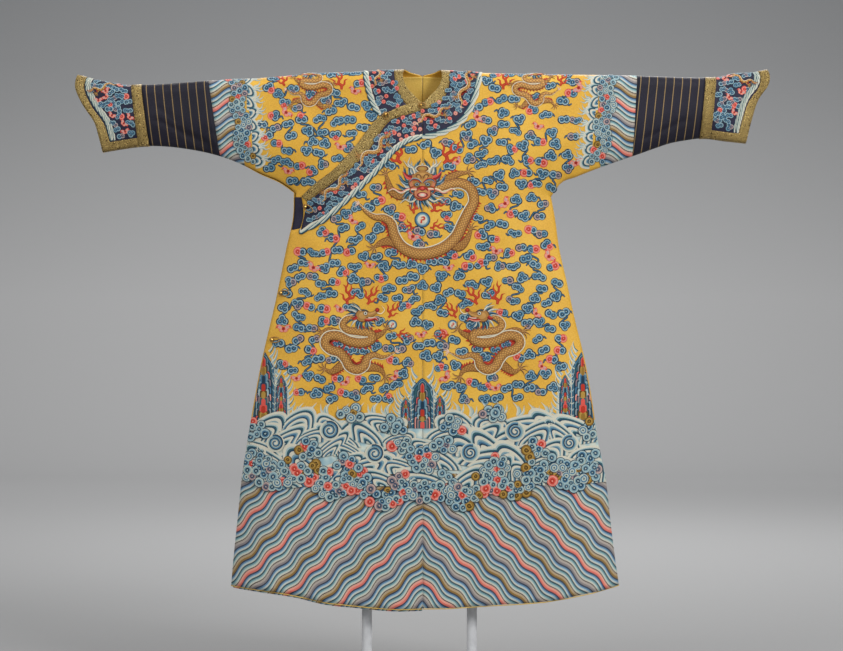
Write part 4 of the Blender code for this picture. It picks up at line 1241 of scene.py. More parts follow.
# Dragon's body and legs of scales, with fins, claws, a pale back line and a tail. The discs it
# covers are added to blocked.
def drawBody(kind, scales, plain, blocked, x, w, size, turn, mirror, skin="tan", lift=0.0006):
    for line, widths in kind["legs"]:
        path = placed(line, x, w, size, turn, mirror)
        ribbon(scales, path, np.array(widths) * 0.001 * size, ("brown", skin, skin, "brown"), lift, 0.0006, 20,
               (-1, -0.78, 0, 0.78, 1))
        fins(plain, path[:-1], np.array(widths).mean() * 0.00040 * size, 0.0105 * size, 8, "red",
             lift - 0.0001, mirror)
        claws(plain, path, 1.25 * size, lift + 0.0002)
        blocked += [(a, b, 0.018 * size + 0.007) for a, b in zip(*curve(path, 8))]
    path = placed(kind["body"], x, w, size, turn, mirror)
    widths = np.array(kind["widths"]) * 0.001 * size
    away = np.interp(np.linspace(0, 1, 44), np.linspace(0, 1, len(widths) - 7), widths[4:-3]) * 0.47
    fins(plain, path[4:-3], away, 0.0085 * size, 44, "red", lift, mirror)
    steps = 6 * len(path)
    ribbon(scales, path, widths, ("brown", skin, "sand", "sand", skin, "brown"), lift + 0.0004, 0.0010,
           steps, (-1, -0.84, -0.45, 0.0, 0.45, 0.84, 1))
    px, pw = curve(path, steps)
    run = np.hypot(np.gradient(px), np.gradient(pw)) + 1e-9
    away = np.interp(np.linspace(0, 1, steps), np.linspace(0, 1, len(widths)), widths) * 0.5 * mirror
    backLine = np.stack([px + np.gradient(pw) / run * away, pw - np.gradient(px) / run * away], axis=1)
    ribbon(plain, backLine, np.array((2.4, 3.2, 3.2, 3.0, 1.6)) * 0.001 * size, ("cream", "white"),
           lift + 0.0005, 0.0003, steps)
    spikes(plain, *path[-1], (0, 35, 70, -35), 0, (16, 12), 3.0, (("cream", "pink"),), lift, 12, size,
           math.degrees(math.atan2(*(path[-1] - path[-2])[::-1])))
    wide = np.interp(np.linspace(0, 1, 40), np.linspace(0, 1, len(widths)), widths)
    blocked += [(a, b, c * 0.5 + 0.009) for a, b, c in zip(*curve(path, 40), wide)]


# Head seen from the front: hair and horns, face, brows, eyes, nose, mouth, whiskers
def facingHead(plain, x, w, size, turn=0.0, lift=0.0022):
    def at(*point):
        return placed([point], x, w, size, turn)[0]

    def spot(px, py, radius, names, edges, up, stretch=1.0):
        rounds(plain, *at(px, py), radius * 0.001 * size, palette(*names), edges, lift + up,
               0.0005, 16, stretch=stretch)

    for start, reach in ((16, (28, 32, 24)), (22, (18, 22, 14))):
        for angles, bend in ((range(-154, -25, 8), 8), (range(-20, 80, 7), 16), (range(200, 100, -7), -16)):
            spikes(plain, x, w, angles, start, reach, 4.6, hairColours, lift - 0.0010, bend, size, turn)
    parts = (
        (((11, 16), (16, 30), (25, 38), (22, 50)), (5.5, 5, 3.6, 1), ("grey", "cream"), 0.0),
        (((18, 32), (26, 34), (34, 44)), (3.6, 3, 0.8), ("grey", "cream"), 0.0),
        (((19, 12), (27, 15), (35, 24)), (9, 8, 1), ("crimson", "coral"), 0.0),
        (((8, -8), (26, -8), (38, -14), (52, -7), (62, -12)), (3.6, 4, 3.6, 2.8, 1), ("pink", "cream"), 0.0014),
        (((8, -22), (20, -30), (31, -26), (40, -33)), (3.4, 3.4, 2.6, 1), ("grey", "cream"), 0.0002),
        (((2, 4), (8, 9), (17, 10), (24, 4)), (3.0, 5.0, 4.4, 1.2), ("grey", "outline", "orange"), 0.0016),
        (((1.5, 12), (5, 18), (11, 17), (9, 12)), (1.4, 1.8, 1.8, 0.8), ("brown",), 0.0016),
        (((13, -2), (20, -5), (22, -12), (15, -18)), (1.8, 2.6, 2.6, 1), ("brown", "orange"), 0.0016),
        (((3, -5), (8, -7), (10, -11)), (3.0, 3.4, 1), ("crimson", "red"), 0.0020),
        (((0, -26), (8, -25), (14, -20)), (4.0, 4.0, 1), ("brown", "orange"), 0.0018),
    )
    for mirror in (-1, 1):
        for line, widths, names, up in parts:
            ribbon(plain, placed(np.array(line) * (mirror, 1), x, w, size, turn),
                   np.array(widths) * 0.001 * size, names, lift + up, 0.0004, 14)
    spot(0, 5, 20, ("brown", "salmon", "tan", "sand"), (1, 0.92, 0.7, 0.35, 0), 0.0, 1.30)
    spot(0, 13, 12, ("tan", "sand", "tan"), (1, 0.7, 0.3, 0), 0.0008, 1.45)
    spot(0, -15, 13.5, ("brown", "salmon", "sand"), (1, 0.88, 0.5, 0), 0.0009, 1.22)
    spot(0, 29, 7.0, ("cream", "brown", "tan", "amber"), (1, 0.84, 0.62, 0.36, 0), -0.0004, 1.9)
    for mirror in (-1, 1):
        rounds(plain, *at(mirror * 9.5, 1), 0.0032 * size, palette("outline", "grey", "black"),
               (1, 0.78, 0.42, 0), lift + 0.0021, 0.0003, 14, stretch=1.55, lean=-0.3 * mirror)
    spot(0, -6, 4.4, ("crimson", "red", "coral"), (1, 0.8, 0.45, 0), 0.0021, 1.35)
    spot(0, -18, 5.2, ("crimson", "pink", "white"), (1, 0.72, 0.42, 0), 0.0019, 1.9)


# Head seen from the side: mane, horn, jaws, skull, snout, whisker, eye and brow
def profileHead(plain, x, w, size, turn, mirror, lift=0.0022):
    def line(points, widths, names, up=0.0, steps=14, edges=None):
        ribbon(plain, placed(points, x, w, size, turn, mirror), np.array(widths) * 0.001 * size, names,
               lift + up, 0.0006, steps, edges)

    spikes(plain, x, w, (118, 134, 150, 166, 182, 198, 214, 230, 246, 262), 8, (28, 22, 32), 4.6, hairColours,
           lift - 0.0008, 10, size, turn, mirror)
    spikes(plain, *placed([(10, -10)], x, w, size, turn, mirror)[0], (-110, -90, -70, -50, -30), 2,
           (16, 20), 4.0, hairColours, lift - 0.0004, 10, size, turn, mirror)
    line(((-2, 8), (-12, 18), (-26, 22)), (5, 4, 1), ("grey", "cream"), -0.0002)
    line(((4, -8), (16, -9), (26, -6), (32, -10)), (8, 7, 6, 2), ("crimson", "red", "pink"), 0.0)
    rounds(plain, *placed([(0, 0)], x, w, size, turn, mirror)[0], 0.014 * size, palette("brown", "tan", "sand"),
           (1, 0.88, 0.5, 0), lift, 0.0012, 18, stretch=1.15)
    line(((6, 2), (16, 2), (24, 5), (30, 10)), (14, 12, 9, 6), ("brown", "tan", "sand", "brown"), 0.0004, 16,
         (-1, -0.8, 0, 0.8, 1))
    line(((12, -5), (20, -5), (28, -3)), (3, 3, 1.5), ("pink", "white"), 0.0010)
    line(((-12, -2), (-18, -6), (-24, -4)), (8, 7, 1), ("crimson", "red"), 0.0002)
    line(((28, 8), (38, 4), (46, 12), (40, 22)), (2.4, 2.2, 1.8, 0.6), ("cream",), 0.0004)
    spotAt = placed([(6, 5), (31, 12), (-2, 7)], x, w, size, turn, mirror)
    rounds(plain, *spotAt[0], 0.0046 * size, palette("brown", "white", "black"), (1, 0.8, 0.4, 0),
           lift + 0.0016, 0.0004, 12)
    rounds(plain, *spotAt[1], 0.0048 * size, palette("crimson", "red"), (1, 0.55, 0), lift + 0.0012, 0.0006, 12)
    line(((-2, 10), (4, 12), (11, 10)), (2.2, 2.6, 1), ("outline", "teal"), 0.0016)


# Pearl of rings with a hooked flame in its middle
def pearl(sketch, x, w, size, lift=0.0006):
    rounds(sketch, x, w, 0.021 * size, palette("outline", "blue", "mist", "white", "cream"),
           (1, 0.9, 0.76, 0.62, 0.40, 0), lift, 0.0010, 26)
    hook = ((-3, -9), (-2, -1), (5, 1), (4, 7), (-3, 6))
    ribbon(sketch, placed(hook, x, w, size), np.array((4.5, 4, 4, 4, 2)) * 0.001 * size, ("red", "coral"),
           lift + 0.0014, 0.0004, 16)


# Pointed peak of nested arches, its foot in the waves
def mountain(sketch, x, w, half, height, lift=0.0003):
    share = np.array((0.0, 0.45, 0.76, 0.86, 0.90, 1.0))
    left = np.array((-1.0, -1.0, -0.96, -0.72, -0.54, 0.0))
    pathX = np.concatenate([left, -left[:-1][::-1]])
    pathW = np.concatenate([share, share[:-1][::-1]])
    t = np.linspace(0, len(pathX) - 1, 33)
    px = softLine(t, np.arange(len(pathX)), pathX)
    pw = softLine(t, np.arange(len(pathX)), pathW)

    def arch(foot, wide, tall, names, edges, up):
        edges = np.array(edges)[:, None]
        rowX = x + px * wide * edges
        rowW = foot + pw * (tall - (1 - edges) * wide * 1.2)
        addGrid(sketch, rowX, rowW, lift + up + 0.0003 * (1 - edges) + 0 * rowX, palette(*names)[:, None, :])

    arch(w, half, height, ("outline", "blue", "teal", "outline", "teal"), (1, 0.94, 0.86, 0.80, 0.74, 0.0), 0.0)
    inner = half * 0.80
    rise = inner * 0.80
    steps = max(2, int((height - half * 0.6) / rise))
    sets = (
        ("outline", "mist", "outline", "teal", "coral", "red"),
        ("outline", "grey", "outline", "ochre", "amber", "gold"),
        ("outline", "coral", "outline", "mist", "blue", "outline"),
        ("outline", "taupe", "outline", "mist", "deep", "red"),
        ("outline", "blue", "outline", "pale", "ochre", "amber"),
        ("outline", "pink", "outline", "taupe", "teal", "coral"),
    )
    for k in range(steps):
        foot = w + height - half * 0.5 - (k + 1.7) * rise
        grow = min(1.0, 0.50 + 0.15 * k)
        arch(max(foot, w), inner * grow, inner * 1.75, sets[k % len(sets)],
             (1, 0.87, 0.74, 0.60, 0.42, 0.24, 0.0), 0.0004 + 0.00004 * k)


# Foam along both flanks of a peak: a white edge and curved sprigs that lean out as they rise
def spray(sketch, x, w, half, height, lift=0.0003):
    sprayColours = (("teal", "foam", "white"), ("mist", "white"), ("foam", "mist", "white"))
    count = max(7, int(height / 0.016))
    for side in (-1, 1):
        ribbon(sketch, ((x + side * half * 1.02, w), (x + side * half * 1.10, w + height * 0.5),
                        (x + side * half * 0.72, w + height * 0.96)), (0.012, 0.010, 0.004),
               ("foam", "white", "foam"), lift - 0.0002, 0.0002, 16)
        for k in range(count):
            t = 0.14 + 0.86 * k / (count - 1)
            foot = w + height * t
            reach = 15 + 8 * ((k * 5) % 3) / 2 + 5 * t
            base = x + side * half * (1.05 - 0.55 * max(0, t - 0.5) * 2)
            line = ((0, 0), (reach * 0.5, reach * 0.30), (reach * 0.85, reach * 0.80),
                    (reach * 0.95, reach * 1.20))
            ribbon(sketch, placed(line, base, foot, 1.0, -14 + 34 * t, side), np.array((9, 6, 3.6, 0.4)) * 0.001,
                   sprayColours[k % 3], lift - 0.0002, 0.0003, 10)


# Rolling wave of nested arcs, cream at the crest and dark at the foot of each band
def wave(sketch, x, w, half, height, lean, bands, lift, turn=0.0):
    angle = np.linspace(0.02, math.pi - 0.02, 21)[None, :]
    edges = []
    colours = []
    step = 0.90 / bands
    for k in range(bands):
        start = 1 - k * step
        edges += [start, start - 0.42 * step, start - 0.62 * step, start - 0.82 * step]
        colours += ["white", *(("mist", "blue", "outline") if k % 2 else ("pale", "teal", "deep"))]
    edges = np.array(edges + [1 - bands * step, 0.0])[:, None]
    colours += ["foam"]
    roll = 1 + 0.22 * np.sin(angle) * (1 - edges)
    localX = half * edges * np.cos(angle) + lean * height * edges * np.sin(angle) ** 1.5 * roll
    localW = height * edges * np.sin(angle)
    turnCos = math.cos(turn)
    turnSin = math.sin(turn)
    addGrid(sketch, x + localX * turnCos - localW * turnSin, w + localX * turnSin + localW * turnCos,
            lift + 0.0003 * (1 - edges) + 0 * localX, palette(*colours)[:, None, :])


# Curled crest: a pale disc with a spiral whose radius shrinks evenly with the turn
def curl(sketch, x, w, radius, mirror, lift):
    rounds(sketch, x, w, radius, palette("white", "foam", "mist", "white"), (1, 0.86, 0.74, 0.66, 0),
           lift, 0.0006, 24)
    turns = np.linspace(0, 4.2 * math.pi, 30)
    spiral = np.stack([np.cos(turns + 1.2) * mirror, np.sin(turns + 1.2)], axis=1) * (
        radius * (0.80 - 0.66 * turns / turns[-1]))[:, None]
    ribbon(sketch, spiral + (x, w), np.linspace(0.0080, 0.0040, 5) * radius / 0.024, ("mist", "blue", "outline"),
           lift + 0.0007, 0.0004, 60, (-1, -0.4, 0.2, 1))


# Scrolls of mixed colours and sizes at the given places
def scrollBank(sketch, places, chance, radius, lift):
    places = np.asarray(places)
    count = len(places)
    draw = chance.random(count)
    rings = [coralRings if d < 0.09 else goldRings if d < 0.16 else taupeRings if d < 0.22
             else bankRings[int(d * 97) % 4] for d in draw]
    rounds(sketch, places[:, 0], places[:, 1], radius * chance.uniform(0.85, 1.2, count), np.array(rings),
           bankEdges, lift + chance.uniform(0, 0.0005, count), 0.0005, 16, 0.20, chance.uniform(0, 6.28, count))


# Peaks: place, foot, half width, height; those at the sides are placed in from the side seam.
# Curls: x, w, radius. Clusters of scrolls in the bank: x, w, count.
seaDrawing = {
    "centrePeaks": ((0.0, 0.694, 0.0290, 0.133), (-0.0440, 0.694, 0.0140, 0.081), (0.0460, 0.694, 0.0145, 0.087)),
    "sidePeaks": ((0.024, 0.684, 0.0300, 0.212), (0.072, 0.690, 0.0165, 0.145)),
    "sprigs": (0.090, 0.125, 0.165, 0.205, 0.250, 0.290, 0.325),
    "sprigFoot": 0.724,
    "rows": 5,
    "wavesInRow": 6,
    "topRow": 0.708,
    "rowGap": 0.034,
    "curls": ((-0.245, 0.689, 0.027), (-0.388, 0.655, 0.024), (-0.126, 0.628, 0.026), (0.245, 0.686, 0.027),
              (0.388, 0.655, 0.024), (0.126, 0.630, 0.026)),
    "clusters": ((-0.190, 0.735, 6), (0.185, 0.735, 6), (-0.075, 0.700, 7), (0.080, 0.700, 7), (0.0, 0.610, 12),
                 (-0.300, 0.640, 8), (0.300, 0.640, 8), (-0.44, 0.690, 8), (0.45, 0.690, 8), (-0.055, 0.650, 6),
                 (0.055, 0.650, 6), (-0.20, 0.600, 7), (0.20, 0.600, 7), (-0.42, 0.60, 8), (0.43, 0.60, 8)),
    "scrollRadius": 0.0126,
}


# Waves, scroll clouds and peaks between the yellow field and the hem stripes
def drawSea(face, chance):
    sea = newSketch()
    peaks = newSketch()
    blocked = []
    peakList = list(seaDrawing["centrePeaks"])
    for mirror in (-1, 1):
        edge = float(sideEdge("left" if mirror > 0 else "right", 0.78))
        peakList += [(mirror * (edge - inward), *rest) for inward, *rest in seaDrawing["sidePeaks"]]
    for x, w, half, height in peakList:
        spray(peaks, x, w, half, height)
        blocked.append((x, w + height * 0.5, half + 0.040))
        blocked.append((x, w + height * 0.9, half + 0.024))
    for x, w, half, height in peakList:
        mountain(peaks, x, w, half, height)
    for s in seaDrawing["sprigs"]:
        for mirror in (-1, 1):
            foot = seaDrawing["sprigFoot"] + chance.uniform(-0.004, 0.004)
            spikes(peaks, mirror * s, foot, (38, 62, 84), 4, (34, 28, 38), 6.0,
                   (("foam", "white"), ("mist", "foam")), 0.0003, 22, 1.0, 0.0, mirror)
    for row in range(seaDrawing["rows"]):
        level = seaDrawing["topRow"] - row * seaDrawing["rowGap"]
        for sign in (-1, 1):
            edge = float(sideEdge("left" if sign > 0 else "right", level)) - 0.005
            for k in range(seaDrawing["wavesInRow"]):
                half = chance.uniform(0.042, 0.062)
                tall = chance.uniform(0.042, 0.074)
                s = (k + 0.25 + 0.5 * (row % 2)) * edge / 5.8 + chance.uniform(-0.012, 0.012)
                if row == 0 and s < 0.110:  # low beside the centre peaks
                    s = 0.100
                    tall = 0.050
                lean = chance.choice((-1, 1)) * chance.uniform(0.4, 1.1)
                wave(sea, sign * s, level - 0.026 + chance.uniform(-0.010, 0.010), half, tall, sign * lean,
                     int(chance.integers(3, 5)), 0.0016 + 0.0003 * row, sign * chance.uniform(-0.25, 0.25))
    for x, w, radius in seaDrawing["curls"]:
        curl(sea, x, w, radius, 1 if x > 0 else -1, 0.0032)
    bank = []
    for row in range(5):
        edge = float(sideEdge("left", 0.56)) - 0.020
        for x in np.arange(-edge, edge, 0.0185):
            s = abs(x)
            low = 0.500 + 0.052 * smoothStep(0.06, 0.40, s) + 0.016 * math.sin(s * 44.0)
            if row < 3 or math.sin(s * 61.0 + row) > -0.25:
                bank.append((x + chance.uniform(-0.004, 0.004) + 0.0092 * (row % 2),
                             low + row * 0.0155 + chance.uniform(-0.004, 0.004)))
    for x, w, count in seaDrawing["clusters"]:
        for k in range(count):
            angle = 2.4 * k  # sunflower spacing
            reach = 0.0095 * math.sqrt(k + 0.4)
            bank.append((x + 1.3 * reach * math.cos(angle), w + 0.9 * reach * math.sin(angle)))
    bank = np.array(bank)
    edge = np.where(bank[:, 0] > 0, sideEdge("left", bank[:, 1]), sideEdge("right", bank[:, 1])) - 0.006
    bank = bank[np.abs(bank[:, 0]) < edge]
    scrollBank(sea, bank, chance, seaDrawing["scrollRadius"], 0.0038)
    stitchPiece("sea_" + ("front" if face < 0 else "back"), sea, face)
    stitchPiece("peaks_" + ("front" if face < 0 else "back"), peaks, face)
    return blocked


# Scroll clouds, crest and foam where the sleeve stripes end
def drawSleeveSea(sketch, chance, sign):
    side = "left" if sign > 0 else "right"
    for k in range(8):
        w = 1.404 + k * 0.031
        x = 0.445 + 0.0037 * k + 0.003 * (k % 2)
        w = max(w, float(underHeight(side, x)) + 0.020)
        line = ((0, 0), (-12, 5), (-22, 3), (-34, 12))
        for lean in (-34, -8, 20):
            ribbon(sketch, placed(line, sign * (x - 0.018), w + 0.002, 0.85, lean, sign),
                   np.array((8, 7, 4, 0.5)) * 0.001, ("mist", "white", "foam"), 0.0003, 0.0004, 10)
        wave(sketch, sign * x, w, 0.021, 0.028, chance.uniform(-0.5, 0.5), 2, 0.0005, sign * math.pi / 2)
    bank = []
    for row in range(3):
        for w in np.arange(1.402, 1.640, 0.0150):
            x = 0.484 - row * 0.0140 + 0.12 * (w - 1.41) + 0.007 * math.sin(w * 70)
            bank.append((sign * x, w + 0.007 * (row % 2)))
    bank = np.array(bank)
    bank = bank[bank[:, 1] > underHeight(side, np.abs(bank[:, 0])) + 0.010]
    scrollBank(sketch, bank, chance, 0.0092, 0.0012)


# Field of one face: nearest distance between clouds and between bats, and their sizes
fieldDrawing = {"cloudGap": 0.0298, "cloudTries": 30000, "cloudSize": 0.98, "batGap": 0.125, "batTries": 900}


# All embroidery of one face: sea, chest dragon, two side dragons, two shoulder dragons, then bats and
# clouds scattered where nothing else is
def drawFace(face):
    chance = np.random.default_rng(7 if face < 0 else 11)
    where = "front" if face < 0 else "back"
    plain = newSketch()
    scales = newSketch()
    blocked = drawSea(face, chance)
    drawBody(facing, scales, plain, blocked, 0.0, 1.333, 1.0, 0, 1)
    facingHead(plain, 0.0, 1.338, 1.48)
    blocked.append((0.0, 1.350, 0.084))
    pearl(plain, 0.0, 1.246, 1.0)
    blocked.append((0.0, 1.246, 0.034))
    for x, w, size, turn, mirror in ((0.022, 1.268, 0.8, -30, 1), (-0.022, 1.262, 0.7, 20, -1),
                                     (0.020, 1.225, 0.6, -60, 1), (-0.020, 1.225, 0.6, -60, -1),
                                     (0.056, 1.395, 1.05, -12, 1), (-0.056, 1.395, 1.05, -12, -1)):
        flame(plain, x, w, size, turn, mirror)
        blocked.append((x + 0.010 * mirror, w + 0.024, 0.032))
    for mirror in (-1, 1):
        x = -mirror * 0.158
        drawBody(profile, scales, plain, blocked, x, 0.992, 1.02, 0, mirror)
        profileHead(plain, x, 0.992, 1.25, 0, mirror)
        blocked.append((x, 0.995, 0.045))
        px = x + mirror * 0.078
        pearl(plain, px, 0.968, 0.62)
        blocked.append((px, 0.968, 0.026))
        for dx, dw, size, turn, way in ((-0.040, 0.030, 0.85, 25, -1), (0.012, 0.030, 0.80, -5, 1),
                                        (0.068, -0.005, 0.7, -10, 1), (0.088, -0.050, 0.6, -70, 1)):
            flame(plain, x + mirror * dx, 0.992 + dw, size, turn, mirror * way)
            blocked.append((x + mirror * (dx + 0.006 * way), 0.992 + dw + 0.024, 0.030))
    top = float(foldTop(np.array([0.30]))[0])
    for mirror in (-1, 1):
        drawBody(profile, scales, plain, blocked, mirror * 0.300, top - (0.010 if face < 0 else 0.020), 0.62,
                 8 if face < 0 else -6, mirror)
        blocked.append((mirror * 0.300, top - 0.02, 0.030))
        profileHead(plain, mirror * 0.300, top - 0.012, 0.66, 10, mirror)
        flame(plain, mirror * 0.215, top - 0.060, 0.8, 30, -mirror)
        blocked.append((mirror * 0.215, top - 0.04, 0.030))
        flame(plain, mirror * 0.365, top - 0.050, 0.7, 0, mirror)
        blocked.append((mirror * 0.370, top - 0.03, 0.028))
    accept = inField(face)
    bats = scatter(accept, (-0.45, 0.45, 0.80, 1.62), fieldDrawing["batGap"], chance, fieldDrawing["batTries"],
                   blocked)
    for x, w in bats:
        bat(plain, x, w, chance.uniform(0.78, 1.05), chance.uniform(-60, 60))
        blocked.append((x, w, 0.024))
    clouds = newSketch()
    places = scatter(accept, (-0.45, 0.45, 0.77, 1.66), fieldDrawing["cloudGap"], chance,
                     fieldDrawing["cloudTries"], [(a, b, c * 0.9) for a, b, c in blocked])
    drawClouds(clouds, places, chance, fieldDrawing["cloudSize"])
    linkClouds(clouds, places, chance)
    for sign in (-1, 1):
        drawSleeveSea(plain, chance, sign)
    print(where, "clouds", len(places), "bats", len(bats))
    stitchPiece("clouds_" + where, clouds, face)
    stitchPiece("figures_" + where, plain, face)
    stitchPiece("dragon_scales_" + where, scales, face, "scales")


for face in (-1, 1):
    drawFace(face)
print("embroidery ready")


# Rope of wave crests along a band's outer edge
def crestEdge(sketch, x, w, count, width, way, lift):
    line = np.stack([x, w], axis=1)
    knots = np.linspace(0, len(line) - 1, count + 1)
    whole = np.arange(len(line))
    gap = knots[1] - knots[0]
    for k in range(count):
        t = np.array((knots[k] - 0.6 * gap, knots[k], knots[k + 1], knots[k + 1] + 0.4 * gap))
        t = np.clip(t, 0, len(line) - 1)
        px = np.interp(t, whole, line[:, 0])
        pw = np.interp(t, whole, line[:, 1])
        runX = np.gradient(px) + 1e-7
        runW = np.gradient(pw)
        size = np.hypot(runX, runW) + 1e-9
        push = np.array((-0.30, -0.10, 0.30, 0.45)) * width * way
        path = np.stack([px - runW / size * push, pw + runX / size * push], axis=1)
        ribbon(sketch, path, (width * 0.30, width * 0.85, width * 0.75, width * 0.10),
               ("white", "foam", "teal", "outline"), lift, 0.0006, 12, (-1, -0.25, 0.25, 0.6, 1))


running = {
    "body": ((66, 4), (54, 12), (40, 8), (26, -6), (10, -12), (-6, -6),
             (-20, 8),(-36, 13), (-52, 6), (-66, -8), (-84, -8)),
    "widths": (8, 10, 12, 13, 14, 14, 13, 12, 10, 7, 2),
    "legs": ((((28, -4), (34, -16), (46, -20)), (8, 6, 3)), (((-30, 10), (-38, 20), (-50, 22)), (8, 6, 3))),
}


# Small dragons on the bands: x, unrolled height, size, turn in degrees, mirrored or not
bandDragons = {
    "front": ((0.114, 1.600, 0.64, 72, 1), (0.030, 1.524, 0.56, 22, 1), (-0.116, 1.640, 0.46, -80, -1),
              (-0.128, 1.430, 0.74, 42, 1), (-0.232, 1.332, 0.60, 44, 1)),
    "back": ((0.108, 1.622, 0.46, 70, 1), (-0.108, 1.622, 0.46, 70, -1), (0.0, 1.584, 0.50, 0, 1)),
}


# Navy bands round the neck and along the closing edge, filled with small clouds and dragons
def drawBands():
    lift = bandLift + 0.0003
    chance = np.random.default_rng(5)
    for face in (-1, 1):
        band = newSketch()
        scales = newSketch()

        def accept(x, w):
            s = np.abs(x)
            a = foldTop(x) - w
            outer = 0.186 if face < 0 else 0.104
            inner = 0.122 if face < 0 else 0.062
            inside = (np.hypot(s / 0.142, a / outer) < 1) & (np.hypot(s / 0.082, a / inner) > 1) & (a > 0.004)
            if face < 0:
                diagonal = (x < 0) & (w < softLine(s, overlapEdge["trimX"], overlapEdge["trimZ"]) - 0.008)
                diagonal &= w > softLine(s, overlapEdge["bandX"], overlapEdge["bandZ"]) + 0.014
                diagonal &= s < 0.30
                above = w > softLine(s, overlapEdge["topX"], overlapEdge["topZ"]) + 0.008
                inside = np.where(x < 0, diagonal | (inside & above), inside)
            return inside

        blocked = []
        for x, w, size, turn, mirror in bandDragons["front" if face < 0 else "back"]:
            drawBody(running, scales, band, blocked, x, w, size, turn, mirror, "sand", lift)
            head = placed([(70, 6)], x, w, size, turn, mirror)[0]
            profileHead(band, *head, size * 0.55, turn, mirror, lift + 0.0014)
        places = scatter(accept, (-0.32, 0.17, 1.20, 1.67), 0.0132, chance, 14000,
                         [(a, b, c * 0.45) for a, b, c in blocked])
        pick = chance.random(len(places))
        drawClouds(band, places[pick < 0.80], chance, 0.60, lift)
        for colours, low, high in ((coralRings, 0.80, 0.90),
                                   (palette("pink", "coral", "white", "red", "pink"), 0.90, 1.0)):
            some = places[(pick >= low) & (pick < high)]
            rounds(band, some[:, 0], some[:, 1], 0.0056, colours, ringEdges, lift, 0.0006, 12, 0.16)
        knots = np.arange(9)
        t = np.linspace(0, 8, 60)
        a = softLine(t, knots, collar["bandA"])
        s = np.maximum(softLine(t, knots, collar["bandX"]) - 0.004, 0.0005)
        for sign in (-1, 1):
            use = (a < -0.0005) if face < 0 else (a > 0.0005)
            x = sign * s[use]
            w = foldTop(x) - np.abs(a[use])
            if face < 0 and sign < 0:
                shown = w > softLine(-x, overlapEdge["topX"], overlapEdge["topZ"]) + 0.002
                x, w = x[shown], w[shown]
            crestEdge(band, x, w, 8, 0.015, sign * face, lift)
        if face < 0:
            t = np.linspace(0, 9, 60)
            s = softLine(t, np.arange(10), overlapEdge["bandX"])
            w = softLine(t, np.arange(10), overlapEdge["bandZ"]) + 0.004
            crestEdge(band, -s, w, 18, 0.015, 1, lift)
        where = "front" if face < 0 else "back"
        stitchPiece("collar_stitch_" + where, band, face)
        stitchPiece("collar_scales_" + where, scales, face, "scales")


drawBands()


# Horse-hoof cuffs: crests along the flared edge, clouds, bats and a small dragon
def drawCuffs():
    for face in (-1, 1):
        cuff = newSketch()
        scales = newSketch()
        chance = np.random.default_rng(21 + face)
        for side in ("left", "right"):
            shape = outline[side]
            sign = shape["sign"]
            share = np.linspace(0.14, 1.0, 40)
            edge = softLine(share, shape["cuffEdgeShare"], shape["cuffEdgeX"]) - cuffBorder
            low = underHeight(side, edge)
            w = low + share * (foldTop(sign * edge) - low)
            crestEdge(cuff, sign * (edge - 0.006), w, 14, 0.011, sign, 0.0003)
            crestEdge(cuff, sign * (edge - 0.014), w, 12, 0.007, sign, 0.0002)

            def accept(x, w):
                s = np.abs(x)
                lowest = underHeight(side, s)
                height = (w - lowest) / (foldTop(x) - lowest)
                inner = np.interp(height, (0, 1), shape["cuffFieldX"]) + 0.008
                outer = softLine(height, shape["cuffEdgeShare"], shape["cuffEdgeX"]) - cuffBorder - 0.022
                upright = (w > lowest + cuffHemBorder + 0.010) & (w < foldTop(x) - 0.004)
                return (s > inner) & (s < outer) & upright

            blocked = []
            x, w = sign * 0.850, float(foldTop(np.array([sign * 0.850]))[0]) - 0.030
            drawBody(running, scales, cuff, blocked, x, w, 0.46, -20, sign, "sand", 0.0004)
            head = placed([(70, 6)], x, w, 0.46, -20, sign)[0]
            profileHead(cuff, *head, 0.26, -20, sign, 0.0018)
            ends = sorted((sign * 0.75, sign * 0.93))
            places = scatter(accept, (*ends, 1.42, 1.68), 0.0150, chance, 4000,
                             [(a, b, c * 0.45) for a, b, c in blocked])
            pick = chance.random(len(places))
            drawClouds(cuff, places[pick < 0.80], chance, 0.72, 0.0004)
            for x, w in places[pick >= 0.80]:
                bat(cuff, x, w, 0.62, chance.uniform(-60, 60), 0.0005)
        where = "front" if face < 0 else "back"
        stitchPiece("cuff_stitch_" + where, cuff, face)
        stitchPiece("cuff_scales_" + where, scales, face, "scales")


drawCuffs()
print("bands and cuffs ready")


# Carried-over solids with finished surfaces
finishes = {
    "paint": ("stand_base", "stand_brace", "left_post", "right_post", "left_shoulder_bar", "right_shoulder_bar"),
    "gilt": ("neck_button", "chest_button", "underarm_button", "waist_button", "hip_button"),
    "cord": ("neck_loop", "chest_loop", "underarm_loop", "waist_loop", "hip_loop"),
}
for material, nodes in finishes.items():
    for node in nodes:
        for holder in bpy.data.objects[node].material_slots:
            holder.material = materials[material]
pipingMaterial, tree, shader = newMaterial("yellow piping cord", 0.55, sheen=0.2)
place = add(tree, "TexCoord")
grain = add(tree, "TexNoise", {"Vector": place.outputs["Object"], "Scale": 500.0, "Detail": 3.0})
tree.links.new(ramp(tree, grain.outputs[0], ((0.3, (196, 156, 66)), (0.7, (224, 190, 100)))),
               shader.inputs["Base Color"])
bump(tree, shader, grain.outputs[0], 0.0003)
for side in ("left", "right"):
    for where in ("front", "back"):
        for holder in bpy.data.objects[side + "_hem_piping_" + where].material_slots:
            holder.material = pipingMaterial


# Plain display of colours, so that the silks keep their own tones
bpy.context.scene.view_settings.view_transform = "Standard"


